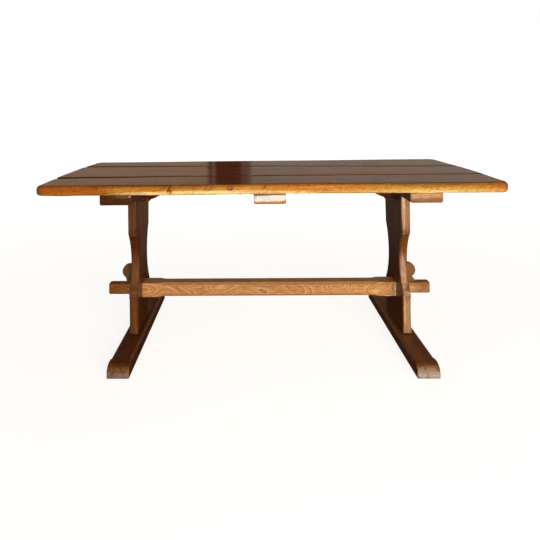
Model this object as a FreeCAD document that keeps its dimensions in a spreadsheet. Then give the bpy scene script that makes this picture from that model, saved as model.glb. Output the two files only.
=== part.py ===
import FreeCAD, Part
import math
import os

import Sketcher

# Trestle dining table in oak, in millimetres.
#
# +X runs along the table, +Y away from the front edge, +Z up, and the origin is on the
# floor under the middle of the top.  Two shaped uprights stand on sledge feet and carry
# bearers under a top of three planks.  A stretcher passes through both uprights on long
# tenons, and a tusk key dropped through each tenon draws the frame tight.
#
# Left is -X and right is +X.  A piece of the left trestle is the right-hand piece turned
# half round, so each piece is drawn once, for the right-hand side.

SIZES = {
    # top
    "top_length": 1860,
    "top_width": 770,
    "top_height": 760,
    "top_thickness": 40,
    "front_plank_width": 233,
    "middle_plank_left": 362,
    "middle_plank_right": 252,
    "plank_gap": 1,
    "plank_arris": 3,
    "corner_radius": 42,
    "wane_depth": 6,
    "top_edge_radius": 16,
    "under_edge_chamfer": 8,
    "tongue_thickness": 8,
    "tongue_reach": 12,
    "tongue_stop": 60,
    "joint_clearance": 0.2,
    # bearers
    "bearer_width": 126,
    "bearer_thickness": 38,
    "bearer_setback": 9,
    "bearer_corner": 8,
    "bearer_arris": 4,
    # trestles
    "end_overhang": 324,
    "upright_width": 256,
    "upright_thickness": 36,
    "base_corner_height": 222,
    "head_corner_height": 495,
    "waist_depth": 46,
    "waist_inner_chamfer": 7,
    "waist_outer_chamfer": 3,
    "head_facet_height": 660,
    "head_facet_leg": 13,
    "base_chamfer_leg": 8,
    "base_chamfer_bottom": 74,
    "base_chamfer_margin": 6,
    "base_chamfer_stop": 16,
    "stub_thickness": 14,
    "stub_width": 180,
    "stub_length": 25,
    # feet
    "foot_length": 750,
    "foot_width": 88,
    "foot_height": 49,
    "nose_radius": 34,
    "foot_chamfer_leg": 9,
    "foot_chamfer_margin": 14,
    "foot_chamfer_stop": 18,
    "foot_arris": 2,
    "glide_diameter": 50,
    "glide_thickness": 3,
    "glide_inset": 34,
    # stretcher and tusk keys
    "stretcher_centre_height": 212,
    "stretcher_height": 64,
    "stretcher_depth": 68,
    "stretcher_chamfer_leg": 11,
    "stretcher_chamfer_margin": 76,
    "stretcher_chamfer_stop": 34,
    "tenon_height": 48,
    "tenon_depth": 42,
    "tenon_projection": 126,
    "tenon_tip_radius": 11,
    "tenon_tip_arris": 3,
    "key_thickness": 20,
    "key_top_width": 38,
    "key_bottom_width": 33,
    "key_drop": 8,
    "key_clearance": 0.2,
    "key_mortise_set_back": 5,
    "key_mortise_overrun": 2,
    "key_neck_width": 46,
    "key_shoulder_left": 41,
    "key_shoulder_right": 62,
    "key_shoulder_height": 7,
    "key_head_radius": 34,
    "key_head_out": 28,
    "key_head_up": 55,
    "key_arris": 2,
    # brackets between upright, bearer and top
    "bracket_thickness": 52,
    "bracket_depth": 60,
    "bracket_length": 155,
    "bracket_foot": 34,
    "bracket_quirk": 9,
    "bracket_quirk_run": 4,
    "bracket_tip": 12,
    "bracket_bow_radius": 230,
    "bracket_arris": 3,
    "bracket_gap": 0.2,
    "bracket_screw_reach": 100,
    "bracket_screw_cover": 22,
    # coach screws
    "screw_diameter": 6,
    "screw_head_flats": 10,
    "screw_head_thickness": 4,
    "screw_bite": 22,
    "screw_hole_clearance": 0.1,
    "screw_hole_spare_depth": 1,
    "bearer_screw_offset": 40,
    "counterbore_diameter": 16,
}

SQRT2 = math.sqrt(2)
# Places closer together than NEAR are the same place.  A cut that has to pass right through
# something is made OVERSIZE times as wide.
NEAR = 0.01
OVERSIZE = 2
X_AXIS = FreeCAD.Vector(1, 0, 0)
Y_AXIS = FreeCAD.Vector(0, 1, 0)
Z_AXIS = FreeCAD.Vector(0, 0, 1)

# The waney edges swing out, above zero, and in, below zero; each number is that wave's
# share of the length of the top.
FRONT_WAVES = (-0.17, 0.26, -0.29, 0.28)
BACK_WAVES = (0.24, -0.22, 0.30, -0.24)

document = FreeCAD.newDocument("TrestleDiningTable")


# ---------------------------------------------------------------- sizes that know their formula

class Size:
    """A length that carries its number and the spreadsheet formula that gives it."""

    def __init__(self, number, formula):
        self.number = float(number)
        self.formula = formula

    def __add__(self, other):
        other = as_size(other)
        return Size(self.number + other.number, f"({self.formula} + {other.formula})")

    def __sub__(self, other):
        other = as_size(other)
        return Size(self.number - other.number, f"({self.formula} - {other.formula})")

    def __mul__(self, other):
        other = as_size(other)
        return Size(self.number * other.number, f"({self.formula} * {other.formula})")

    def __truediv__(self, other):
        other = as_size(other)
        return Size(self.number / other.number, f"({self.formula} / {other.formula})")

    def __neg__(self):
        return Size(-self.number, f"(0 - {self.formula})")

    def root(self):
        return Size(math.sqrt(self.number), f"sqrt({self.formula})")


def as_size(length):
    if isinstance(length, Size):
        return length
    return Size(length, f"({length:.9f})")


def read_sheet():
    """Fill the spreadsheet and return one Size for each of its rows."""
    sheet = document.addObject("Spreadsheet::Sheet", "Sizes")
    for row, (name, number) in enumerate(SIZES.items(), start=1):
        sheet.set(f"A{row}", name)
        sheet.set(f"B{row}", str(number))
        sheet.setAlias(f"B{row}", name)
    document.recompute()
    return {name: Size(sheet.get(name), f"Sizes.{name}") for name in SIZES}


size = read_sheet()

# Heights that several pieces share.
top_underside = size["top_height"] - size["top_thickness"]
bearer_underside = top_underside - size["bearer_thickness"]
foot_underside = size["glide_thickness"]
foot_top = foot_underside + size["foot_height"]
upright_height = bearer_underside - foot_top

# Distances along the table.
trestle_x = size["top_length"] / 2 - size["end_overhang"]
half_upright = size["upright_thickness"] / 2
shoulder_x = trestle_x - half_upright
outer_face_x = trestle_x + half_upright
BEARER_PLACES = (-trestle_x, as_size(0), trestle_x)
half_top_width = size["top_width"] / 2
half_bearer_length = half_top_width - size["bearer_setback"]

# The stub tenons of the uprights sit in mortises a little larger than themselves.
stub_mortise_thickness = size["stub_thickness"] + size["joint_clearance"] * 2
stub_mortise_width = size["stub_width"] + size["joint_clearance"] * 2
stub_mortise_depth = size["stub_length"] + size["joint_clearance"]


# ---------------------------------------------------------------- helpers for the document

def number(length):
    return as_size(length).number


def origin_plane(body, role):
    return next(plane for plane in body.Origin.OriginFeatures if plane.Role == role)


def new_body(label):
    body = document.addObject("PartDesign::Body", label)
    body.Label = label
    return body


def place(piece, x=0, y=0, z=0, turn=0):
    """Turn a piece about its own upright axis and put it in its place in the table."""
    position = FreeCAD.Vector(number(x), number(y), number(z))
    piece.Placement = FreeCAD.Placement(position, FreeCAD.Rotation(Z_AXIS, turn))
    for axis, distance in (("x", x), ("y", y), ("z", z)):
        if isinstance(distance, Size):
            piece.setExpression(f"Placement.Base.{axis}", distance.formula)


def new_sketch(body, name, role="XY_Plane", base=(0, 0, 0), rotation=None):
    """Start a sketch on an origin plane, moved by base and turned in that plane's frame."""
    sketch = body.newObject("Sketcher::SketchObject", name)
    sketch.AttachmentSupport = [(origin_plane(body, role), "")]
    sketch.MapMode = "FlatFace"
    offset = FreeCAD.Vector(*[number(part) for part in base])
    sketch.AttachmentOffset = FreeCAD.Placement(offset, rotation or FreeCAD.Rotation())
    for axis, distance in zip("xyz", base):
        if isinstance(distance, Size):
            sketch.setExpression(f"AttachmentOffset.Base.{axis}", distance.formula)
    return sketch


def bind(sketch, constraint, length):
    """Add a constraint and tie its value to the spreadsheet."""
    index = sketch.addConstraint(constraint)
    if isinstance(length, Size):
        sketch.setExpression(f"Constraints[{index}]", length.formula)


def fix_point(sketch, geometry, end, x, y):
    """Hold one point of the sketch at x, y from the sketch's origin."""
    for kind, axis, distance in (("DistanceX", -2, x), ("DistanceY", -1, y)):
        if isinstance(distance, Size) or distance != 0:
            constraint = Sketcher.Constraint(kind, -1, 1, geometry, end, number(distance))
            bind(sketch, constraint, distance)
        else:
            sketch.addConstraint(Sketcher.Constraint("PointOnObject", geometry, end, axis))


def arc_between(start, end, radius):
    """The smaller arc from start to end: a positive radius turns left, a negative one right."""
    if radius < 0:
        start, end = end, start
        radius = -radius
    chord = end - start
    height = math.sqrt(max(radius ** 2 - (chord.Length / 2) ** 2, 0))
    centre = (start + end) / 2 + FreeCAD.Vector(-chord.y, chord.x, 0).normalize() * height
    angles = [math.atan2(point.y - centre.y, point.x - centre.x) for point in (start, end)]
    return Part.ArcOfCircle(Part.Circle(centre, Z_AXIS, radius), *angles)


def closed_outline(sketch, corners):
    """Draw a closed outline.

    Each corner is (x, y) and is joined to the next by a line, or (x, y, radius) and is
    joined by an arc.
    """
    points = [FreeCAD.Vector(number(corner[0]), number(corner[1]), 0) for corner in corners]
    ends = []
    for index, corner in enumerate(corners):
        start, end = points[index], points[(index + 1) % len(points)]
        radius = number(corner[2]) if len(corner) > 2 else 0
        if radius == 0:
            geometry = sketch.addGeometry(Part.LineSegment(start, end))
        else:
            geometry = sketch.addGeometry(arc_between(start, end, radius))
        ends.append((geometry, 2, 1) if radius < 0 else (geometry, 1, 2))
    for index, (geometry, start_end, _) in enumerate(ends):
        previous, _, previous_end = ends[index - 1]
        sketch.addConstraint(
            Sketcher.Constraint("Coincident", previous, previous_end, geometry, start_end))
    for (geometry, start_end, _), corner in zip(ends, corners):
        fix_point(sketch, geometry, start_end, corner[0], corner[1])
        if len(corner) > 2:
            radius = corner[2] if number(corner[2]) > 0 else -as_size(corner[2])
            bind(sketch, Sketcher.Constraint("Radius", geometry, number(radius)), radius)


def rectangle(sketch, x_low, x_high, y_low, y_high):
    closed_outline(sketch, [(x_low, y_low), (x_high, y_low), (x_high, y_high), (x_low, y_high)])


def extrude(body, kind, name, sketch, length, both_ways=False, reverse=False):
    """Pad or pocket a sketch by a length, one way or half to each side of its plane."""
    feature = body.newObject(f"PartDesign::{kind}", name)
    feature.Profile = sketch
    feature.Length = number(length)
    if isinstance(length, Size):
        feature.setExpression("Length", length.formula)
    if both_ways:
        feature.SideType = "Symmetric"
    feature.Reversed = reverse
    document.recompute()
    return feature


def mirror(body, name, originals, roles):
    """Repeat features on the other side of one or more origin planes."""
    if len(roles) == 1:
        feature = body.newObject("PartDesign::Mirrored", name)
        feature.Originals = originals
        feature.MirrorPlane = (origin_plane(body, roles[0]), [""])
    else:
        feature = body.newObject("PartDesign::MultiTransform", name)
        feature.Originals = originals
        steps = []
        for role in roles:
            step = body.newObject("PartDesign::Mirrored", f"{name}_{role[:2].lower()}")
            step.MirrorPlane = (origin_plane(body, role), [""])
            steps.append(step)
        feature.Transformations = steps
    body.Tip = feature
    document.recompute()
    return feature


def edges_where(shape, test):
    """Names of the edges whose middle and length pass a test."""
    names = []
    for index, edge in enumerate(shape.Edges, start=1):
        middle = edge.valueAt((edge.FirstParameter + edge.LastParameter) / 2)
        if test(middle, edge):
            names.append(f"Edge{index}")
    return names


def dress(body, kind, name, test, length):
    """Fillet or chamfer the edges of the body's tip that pass a test."""
    base = body.Tip
    feature = body.newObject(f"PartDesign::{kind}", name)
    feature.Base = (base, edges_where(base.Shape, test))
    setting = "Radius" if kind == "Fillet" else "Size"
    setattr(feature, setting, number(length))
    if isinstance(length, Size):
        feature.setExpression(setting, length.formula)
    document.recompute()
    return feature


def circles(sketch, places, diameter):
    for x, y in places:
        centre = FreeCAD.Vector(number(x), number(y), 0)
        circle = sketch.addGeometry(Part.Circle(centre, Z_AXIS, number(diameter) / 2))
        fix_point(sketch, circle, 3, x, y)
        bind(sketch, Sketcher.Constraint("Diameter", circle, number(diameter)), diameter)


def bore(body, name, height, places, diameter, depth):
    """Drill round holes up from a height at places (x, y)."""
    sketch = new_sketch(body, f"{name}_centres", base=(0, 0, height))
    circles(sketch, places, diameter)
    return extrude(body, "Pocket", name, sketch, depth, reverse=True)


def arris_sketch(body, name, arris, along, outwards):
    """A sketch whose origin is on an arris, x along it and y straight out of the corner."""
    rotation = FreeCAD.Rotation(along, outwards, along.cross(outwards), "XYZ")
    return new_sketch(body, name, base=arris, rotation=rotation)


def stopped_chamfer(body, name, arris, along, outwards, end, leg, stop):
    """Chamfer an arris from its sketch origin to end, with a scooped stop at each end."""
    depth = leg / SQRT2
    scoop = (stop * stop + depth * depth) / (depth * 2)
    sketch = arris_sketch(body, f"{name}_path", arris, along, outwards)
    closed_outline(sketch, [
        (0, 0, scoop),
        (stop, -depth),
        (end - stop, -depth, scoop),
        (end, 0),
        (end, leg),
        (0, leg),
    ])
    return extrude(body, "Pocket", name, sketch, leg * SQRT2 * OVERSIZE, both_ways=True)


def make_screws(label, places, under_head, length, **placement):
    """Coach screws with hexagonal heads, driven up at places (x, y) from a height."""
    body = new_body(label)
    body.AllowCompound = True
    half_flats = size["screw_head_flats"] / 2
    corner_radius = size["screw_head_flats"] / math.sqrt(3)
    heads = new_sketch(body, f"{label}_heads_plan", base=(0, 0, under_head))
    for x, y in places:
        closed_outline(heads, [
            (x + corner_radius, y),
            (x + corner_radius / 2, y + half_flats),
            (x - corner_radius / 2, y + half_flats),
            (x - corner_radius, y),
            (x - corner_radius / 2, y - half_flats),
            (x + corner_radius / 2, y - half_flats),
        ])
    extrude(body, "Pad", f"{label}_heads", heads, size["screw_head_thickness"], reverse=True)
    shanks = new_sketch(body, f"{label}_shanks_plan", base=(0, 0, under_head))
    circles(shanks, places, size["screw_diameter"])
    extrude(body, "Pad", f"{label}_shanks", shanks, length)
    place(body, **placement)


# ---------------------------------------------------------------- joints between the planks

front_joint_y = size["front_plank_width"] - half_top_width
back_joint_left_y = front_joint_y + size["middle_plank_left"]
back_joint_right_y = front_joint_y + size["middle_plank_right"]


def back_joint_y(x):
    """Where the slanting joint behind the middle plank lies at a distance x along the table."""
    share = (x + size["top_length"] / 2) / size["top_length"]
    return back_joint_left_y + (back_joint_right_y - back_joint_left_y) * share


def plank_centres(x):
    """The middles of the three planks at a distance x along the table."""
    front = (front_joint_y - half_top_width) / 2
    middle = (front_joint_y + back_joint_y(x)) / 2
    back = (back_joint_y(x) + half_top_width) / 2
    return [front, middle, back]


def bearer_screw_places(bearer_x):
    """One screw up through a bearer into each plank, in the bearer's own frame.

    The middle screw is on the outer side, clear of the bracket, and the others inside.
    """
    out = size["bearer_screw_offset"] * (-1 if bearer_x.number < 0 else 1)
    front, middle, back = plank_centres(bearer_x)
    return [(-out, front), (out, middle), (-out, back)]


screw_hole = size["screw_diameter"] + size["screw_hole_clearance"]
pilot_depth = size["screw_bite"] + size["screw_hole_spare_depth"]


# ---------------------------------------------------------------- top planks

def waney_edge(waves):
    """Corners of a waney front edge from left to right: arcs that swing out and in.

    Each wave is its share of the length, above zero where it swings outwards.  Arcs with
    their radius in proportion to their chord meet smoothly, and the widest reaches the
    full width of the top.
    """
    widest = max(waves)
    depth = size["wane_depth"]
    widest_chord = size["top_length"] * widest
    widest_radius = (widest_chord * widest_chord / 4 + depth * depth) / (depth * 2)
    corners = []
    passed = 0
    for wave in waves:
        x = size["top_length"] * (passed - 0.5)
        corners.append((x, depth - half_top_width, widest_radius * (wave / widest)))
        passed += abs(wave)
    corners.append((size["top_length"] / 2, depth - half_top_width))
    return corners


def cut_plank_joint(body, name, left_y, right_y, towards):
    """Groove a plank along a joint and ease the joint's top arris.

    The joint's y is given at both ends of the top; towards is 1 for a joint behind the
    plank and -1 for one in front of it.
    """
    clearance = size["joint_clearance"]
    half_length = size["top_length"] / 2
    thickness = size["top_thickness"]
    stop = size["tongue_stop"] - clearance
    slope = (right_y - left_y) / size["top_length"]
    middle_y = (left_y + right_y) / 2
    reach = size["tongue_reach"] + clearance
    left, right = stop - half_length, half_length - stop
    plan = new_sketch(body, f"{name}_groove_plan", base=(0, 0, thickness / 2))
    corners = [
        (left, middle_y + slope * left - reach),
        (right, middle_y + slope * right - reach),
        (right, middle_y + slope * right + reach),
        (left, middle_y + slope * left + reach),
    ]
    closed_outline(plan, corners)
    extrude(body, "Pocket", f"{name}_groove", plan,
            size["tongue_thickness"] + clearance * 2, both_ways=True)

    edge_y = middle_y.number - towards * size["plank_gap"].number / 2

    def joint_arris(middle, edge):
        along = abs(middle.y - edge_y) < NEAR and edge.Length > half_length.number
        return along and abs(middle.z - thickness.number) < NEAR

    dress(body, "Chamfer", f"{name}_arris", joint_arris, size["plank_arris"])


def ease_outside(body, label, joints):
    """Round the outer top arris and chamfer the lower one, leaving the joints square."""
    thickness = size["top_thickness"].number
    half_length = size["top_length"].number / 2

    def outside(level):
        def test(middle, edge):
            at_joint = any(abs(middle.y - y) < NEAR and edge.Length > half_length for y in joints)
            return abs(middle.z - level) < NEAR and not at_joint
        return test

    dress(body, "Fillet", f"{label}_upper_edge", outside(thickness), size["top_edge_radius"])
    dress(body, "Chamfer", f"{label}_lower_edge", outside(0), size["under_edge_chamfer"])


def bore_plank(body, label, plank, turned=1):
    """Drill a plank for the screws that come up through the bearers."""
    places = []
    for bearer_x in BEARER_PLACES:
        x, y = bearer_screw_places(bearer_x)[plank]
        places.append(((x + bearer_x) * turned, y * turned))
    bore(body, f"{label}_screw_holes", 0, places, screw_hole, pilot_depth)


def make_outer_plank(label, plank, waves, joint_left, joint_right, turned):
    """A plank with one waney edge, drawn with that edge in front.

    The back plank is then turned half round, which turned, 1 or -1, gives.
    """
    body = new_body(label)
    gap = size["plank_gap"] / 2
    half_length = size["top_length"] / 2
    plan = new_sketch(body, f"{label}_plan")
    closed_outline(plan, waney_edge(waves) + [
        (half_length, joint_right - gap),
        (-half_length, joint_left - gap),
    ])
    extrude(body, "Pad", f"{label}_board", plan, size["top_thickness"])

    def outer_corner(middle, edge):
        return abs(abs(middle.x) - half_length.number) < NEAR \
            and abs(middle.y - (size["wane_depth"] - half_top_width).number) < NEAR \
            and abs(middle.z - size["top_thickness"].number / 2) < NEAR

    dress(body, "Fillet", f"{label}_corners", outer_corner, size["corner_radius"])
    joint_y = ((joint_left + joint_right) / 2 - gap).number
    ease_outside(body, label, [joint_y])
    cut_plank_joint(body, label, joint_left, joint_right, 1)
    bore_plank(body, label, plank, turned)
    place(body, z=top_underside, turn=90 - 90 * turned)


def make_middle_plank():
    """The widest plank, tapered, with a joint along both sides."""
    label = "top_plank_middle"
    body = new_body(label)
    gap = size["plank_gap"] / 2
    half_length = size["top_length"] / 2
    plan = new_sketch(body, f"{label}_plan")
    closed_outline(plan, [
        (-half_length, front_joint_y + gap),
        (half_length, front_joint_y + gap),
        (half_length, back_joint_right_y - gap),
        (-half_length, back_joint_left_y - gap),
    ])
    extrude(body, "Pad", f"{label}_board", plan, size["top_thickness"])
    back_middle_y = (back_joint_left_y + back_joint_right_y) / 2
    ease_outside(body, label, [(front_joint_y + gap).number, (back_middle_y - gap).number])
    cut_plank_joint(body, f"{label}_front", front_joint_y, front_joint_y, -1)
    cut_plank_joint(body, f"{label}_back", back_joint_left_y, back_joint_right_y, 1)
    bore_plank(body, label, 1)
    bracket_x = shoulder_x - size["bracket_screw_reach"]
    bore(body, f"{label}_bracket_holes", 0, [(-bracket_x, 0), (bracket_x, 0)], screw_hole,
         pilot_depth)
    place(body, z=top_underside)


def make_planks():
    make_outer_plank("top_plank_front", 0, FRONT_WAVES, front_joint_y, front_joint_y, 1)
    make_middle_plank()
    make_outer_plank("top_plank_back", 2, BACK_WAVES, -back_joint_right_y, -back_joint_left_y, -1)


def make_tongues():
    """Loose tongues that keep the planks level with each other along the joints."""
    reach = size["tongue_reach"]
    half_length = size["top_length"] / 2 - size["tongue_stop"]
    for label, joint_y in (("top_tongue_front", lambda x: front_joint_y),
                           ("top_tongue_back", back_joint_y)):
        body = new_body(label)
        sketch = new_sketch(body, f"{label}_plan")
        left, right = joint_y(-half_length), joint_y(half_length)
        closed_outline(sketch, [
            (-half_length, left - reach),
            (half_length, right - reach),
            (half_length, right + reach),
            (-half_length, left + reach),
        ])
        extrude(body, "Pad", f"{label}_board", sketch, size["tongue_thickness"], both_ways=True)
        place(body, z=top_underside + size["top_thickness"] / 2)


# ---------------------------------------------------------------- bearers

def make_bearer(label, bearer_x, carries_upright):
    """A flat bearer across the top, rounded below, screwed up into the planks.

    Its frame stands on the middle of its underside.
    """
    body = new_body(label)
    half_width = size["bearer_width"] / 2
    corner = size["bearer_corner"]
    thickness = size["bearer_thickness"]
    section = new_sketch(body, f"{label}_section", "XZ_Plane")
    closed_outline(section, [
        (-half_width, corner, corner),
        (corner - half_width, 0),
        (half_width - corner, 0, corner),
        (half_width, corner),
        (half_width, thickness),
        (-half_width, thickness),
    ])
    extrude(body, "Pad", f"{label}_board", section, half_bearer_length * 2, both_ways=True)
    end_y = half_bearer_length.number

    def lower_end_arris(middle, edge):
        return abs(abs(middle.y) - end_y) < NEAR and middle.z < number(thickness) - NEAR

    dress(body, "Chamfer", f"{label}_ends", lower_end_arris, size["bearer_arris"])
    bore(body, f"{label}_screw_holes", 0, bearer_screw_places(bearer_x), screw_hole, thickness)
    if carries_upright:
        mortise = new_sketch(body, f"{label}_mortise_plan")
        rectangle(mortise, -stub_mortise_thickness / 2, stub_mortise_thickness / 2,
                  -stub_mortise_width / 2, stub_mortise_width / 2)
        extrude(body, "Pocket", f"{label}_mortise", mortise, stub_mortise_depth, reverse=True)
    place(body, x=bearer_x, z=bearer_underside)


def make_bearer_screws(label, bearer_x):
    make_screws(label, bearer_screw_places(bearer_x), 0,
                size["bearer_thickness"] + size["screw_bite"], x=bearer_x, z=bearer_underside)


# ---------------------------------------------------------------- uprights

def make_upright(label, side_x, turn):
    """A shaped upright with a hollow waist, stub tenons and a mortise for the stretcher.

    Its frame stands on the foot, with +X pointing out of the table.
    """
    body = new_body(label)
    half_width = size["upright_width"] / 2
    base = size["base_corner_height"] - foot_top
    head = size["head_corner_height"] - foot_top
    chord = head - base
    waist = size["waist_depth"]
    waist_radius = (chord * chord / 4 + waist * waist) / (waist * 2)
    profile = new_sketch(body, f"{label}_profile", "YZ_Plane")
    closed_outline(profile, [
        (-half_width, 0),
        (half_width, 0),
        (half_width, base, -waist_radius),
        (half_width, head),
        (half_width, upright_height),
        (-half_width, upright_height),
        (-half_width, head, -waist_radius),
        (-half_width, base),
    ])
    extrude(body, "Pad", f"{label}_board", profile, size["upright_thickness"], both_ways=True)

    def waist_arris(side):
        def test(middle, edge):
            on_face = abs(middle.x - side * half_upright.number) < NEAR
            return on_face and abs(edge.Curve.Radius - waist_radius.number) < NEAR \
                if isinstance(edge.Curve, Part.Circle) else False
        return test

    dress(body, "Chamfer", f"{label}_inner_waist", waist_arris(-1), size["waist_inner_chamfer"])
    dress(body, "Chamfer", f"{label}_outer_waist", waist_arris(1), size["waist_outer_chamfer"])

    half_stub = size["stub_thickness"] / 2
    half_stub_width = size["stub_width"] / 2
    for name, height, reverse in (("head_stub", upright_height, False), ("foot_stub", 0, True)):
        plan = new_sketch(body, f"{label}_{name}_plan", base=(0, 0, height))
        rectangle(plan, -half_stub, half_stub, -half_stub_width, half_stub_width)
        extrude(body, "Pad", f"{label}_{name}", plan, size["stub_length"], reverse=reverse)

    opening = new_sketch(body, f"{label}_mortise_outline", "YZ_Plane")
    clearance = size["joint_clearance"]
    centre = size["stretcher_centre_height"] - foot_top
    half_tall = size["tenon_height"] / 2 + clearance
    half_deep = size["tenon_depth"] / 2 + clearance
    rectangle(opening, -half_deep, half_deep, centre - half_tall, centre + half_tall)
    extrude(body, "Pocket", f"{label}_mortise", opening, size["upright_thickness"] * OVERSIZE,
            both_ways=True)

    leg = size["base_chamfer_leg"]
    low = size["base_chamfer_bottom"] - foot_top
    high = base - size["base_chamfer_margin"]
    outwards = FreeCAD.Vector(1, 1, 0).normalize()
    base_chamfer = stopped_chamfer(body, f"{label}_base_chamfer", (half_upright, half_width, low),
                                   Z_AXIS, outwards, high - low, leg,
                                   size["base_chamfer_stop"])
    mirror(body, f"{label}_base_chamfers", [base_chamfer], ["XZ_Plane", "YZ_Plane"])

    facet = arris_sketch(body, f"{label}_head_facet_path", (-half_upright, half_width, head),
                         Z_AXIS, FreeCAD.Vector(-1, 1, 0).normalize())
    facet_leg = size["head_facet_leg"]
    facet_length = size["head_facet_height"] - size["head_corner_height"]
    closed_outline(facet, [
        (0, -(facet_leg / SQRT2)),
        (facet_length, 0),
        (facet_length, facet_leg),
        (0, facet_leg),
    ])
    head_facet = extrude(body, "Pocket", f"{label}_head_facet", facet,
                         facet_leg * SQRT2 * OVERSIZE, both_ways=True)
    mirror(body, f"{label}_head_facets", [head_facet], ["XZ_Plane"])
    place(body, x=side_x, z=foot_top, turn=turn)


# ---------------------------------------------------------------- feet

def make_foot(label, side_x, turn):
    """A sledge foot with rounded noses and stopped chamfers along its top arrises."""
    body = new_body(label)
    half_length = size["foot_length"] / 2
    half_width = size["foot_width"] / 2
    height = size["foot_height"]
    nose = size["nose_radius"]
    side_view = new_sketch(body, f"{label}_side_view", "YZ_Plane")
    closed_outline(side_view, [
        (-half_length, 0),
        (half_length, 0),
        (half_length, height - nose, nose),
        (half_length - nose, height),
        (nose - half_length, height, nose),
        (-half_length, height - nose),
    ])
    extrude(body, "Pad", f"{label}_beam", side_view, size["foot_width"], both_ways=True)

    def nose_arris(middle, edge):
        on_side = abs(abs(middle.x) - half_width.number) < NEAR
        past_top = abs(middle.y) > (half_length - nose).number
        return on_side and past_top and middle.z > NEAR

    dress(body, "Chamfer", f"{label}_nose_arris", nose_arris, size["foot_arris"])

    mortise = new_sketch(body, f"{label}_mortise_plan", base=(0, 0, height))
    rectangle(mortise, -stub_mortise_thickness / 2, stub_mortise_thickness / 2,
              -stub_mortise_width / 2, stub_mortise_width / 2)
    extrude(body, "Pocket", f"{label}_mortise", mortise, stub_mortise_depth)

    leg = size["foot_chamfer_leg"]
    start = half_length - nose - size["foot_chamfer_margin"]
    chamfer = stopped_chamfer(body, f"{label}_chamfer", (half_width, -start, height), Y_AXIS,
                              FreeCAD.Vector(1, 0, 1).normalize(), start * 2, leg,
                              size["foot_chamfer_stop"])
    mirror(body, f"{label}_chamfers", [chamfer], ["YZ_Plane"])
    place(body, x=side_x, z=foot_underside, turn=turn)


def make_glides(label, side_x):
    """Two round felt glides stuck under the ends of a foot."""
    body = new_body(label)
    body.AllowCompound = True
    glide_y = size["foot_length"] / 2 - size["glide_inset"]
    plan = new_sketch(body, f"{label}_plan")
    circles(plan, [(0, -glide_y), (0, glide_y)], size["glide_diameter"])
    extrude(body, "Pad", f"{label}_discs", plan, size["glide_thickness"])
    place(body, x=side_x)


# ---------------------------------------------------------------- stretcher and tusk keys

tenon_top = size["tenon_height"] / 2
key_taper = (size["key_top_width"] - size["key_bottom_width"]) / size["tenon_height"]


def key_width_at(height):
    """Width of a tusk key at a height above the top of the tenon."""
    return size["key_top_width"] + key_taper * height


def make_stretcher():
    """The long stretcher: shoulders against the uprights, through tenons, tusk mortises.

    Its frame is at its middle.
    """
    label = "stretcher"
    body = new_body(label)
    half_height = size["stretcher_height"] / 2
    half_depth = size["stretcher_depth"] / 2
    section = new_sketch(body, f"{label}_section", "YZ_Plane")
    rectangle(section, -half_depth, half_depth, -half_height, half_height)
    extrude(body, "Pad", f"{label}_rail", section, shoulder_x * 2, both_ways=True)

    tenon_section = new_sketch(body, f"{label}_tenon_section", "YZ_Plane")
    half_tenon_depth = size["tenon_depth"] / 2
    rectangle(tenon_section, -half_tenon_depth, half_tenon_depth, -tenon_top, tenon_top)
    tip_x = outer_face_x + size["tenon_projection"]
    extrude(body, "Pad", f"{label}_tenons", tenon_section, tip_x * 2, both_ways=True)

    def tip_upright_edge(middle, edge):
        at_tip = abs(abs(middle.x) - tip_x.number) < NEAR
        return at_tip and abs(middle.z) < NEAR

    def tip_edge(middle, edge):
        return abs(abs(middle.x) - tip_x.number) < size["tenon_tip_radius"].number \
            and abs(abs(middle.z) - tenon_top.number) < NEAR \
            and abs(edge.tangentAt(edge.FirstParameter).x) < 0.99

    dress(body, "Fillet", f"{label}_tip_corners", tip_upright_edge, size["tenon_tip_radius"])
    dress(body, "Chamfer", f"{label}_tip_arrises", tip_edge, size["tenon_tip_arris"])

    clearance = size["key_clearance"]
    above = size["key_mortise_overrun"]
    below = -(size["tenon_height"] + above)
    inside = outer_face_x - size["key_mortise_set_back"]
    mortise = new_sketch(body, f"{label}_key_mortise_outline", "XZ_Plane")
    closed_outline(mortise, [
        (inside, tenon_top + below),
        (outer_face_x + key_width_at(below) + clearance, tenon_top + below),
        (outer_face_x + key_width_at(above) + clearance, tenon_top + above),
        (inside, tenon_top + above),
    ])
    key_mortise = extrude(body, "Pocket", f"{label}_key_mortise", mortise,
                          size["key_thickness"] + clearance * 2, both_ways=True)
    mirror(body, f"{label}_key_mortises", [key_mortise], ["YZ_Plane"])

    start = shoulder_x - size["stretcher_chamfer_margin"]
    chamfer = stopped_chamfer(body, f"{label}_chamfer", (-start, half_depth, half_height), X_AXIS,
                              FreeCAD.Vector(0, 1, 1).normalize(), start * 2,
                              size["stretcher_chamfer_leg"], size["stretcher_chamfer_stop"])
    mirror(body, f"{label}_chamfers", [chamfer], ["XZ_Plane", "XY_Plane"])
    place(body, z=size["stretcher_centre_height"])


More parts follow.
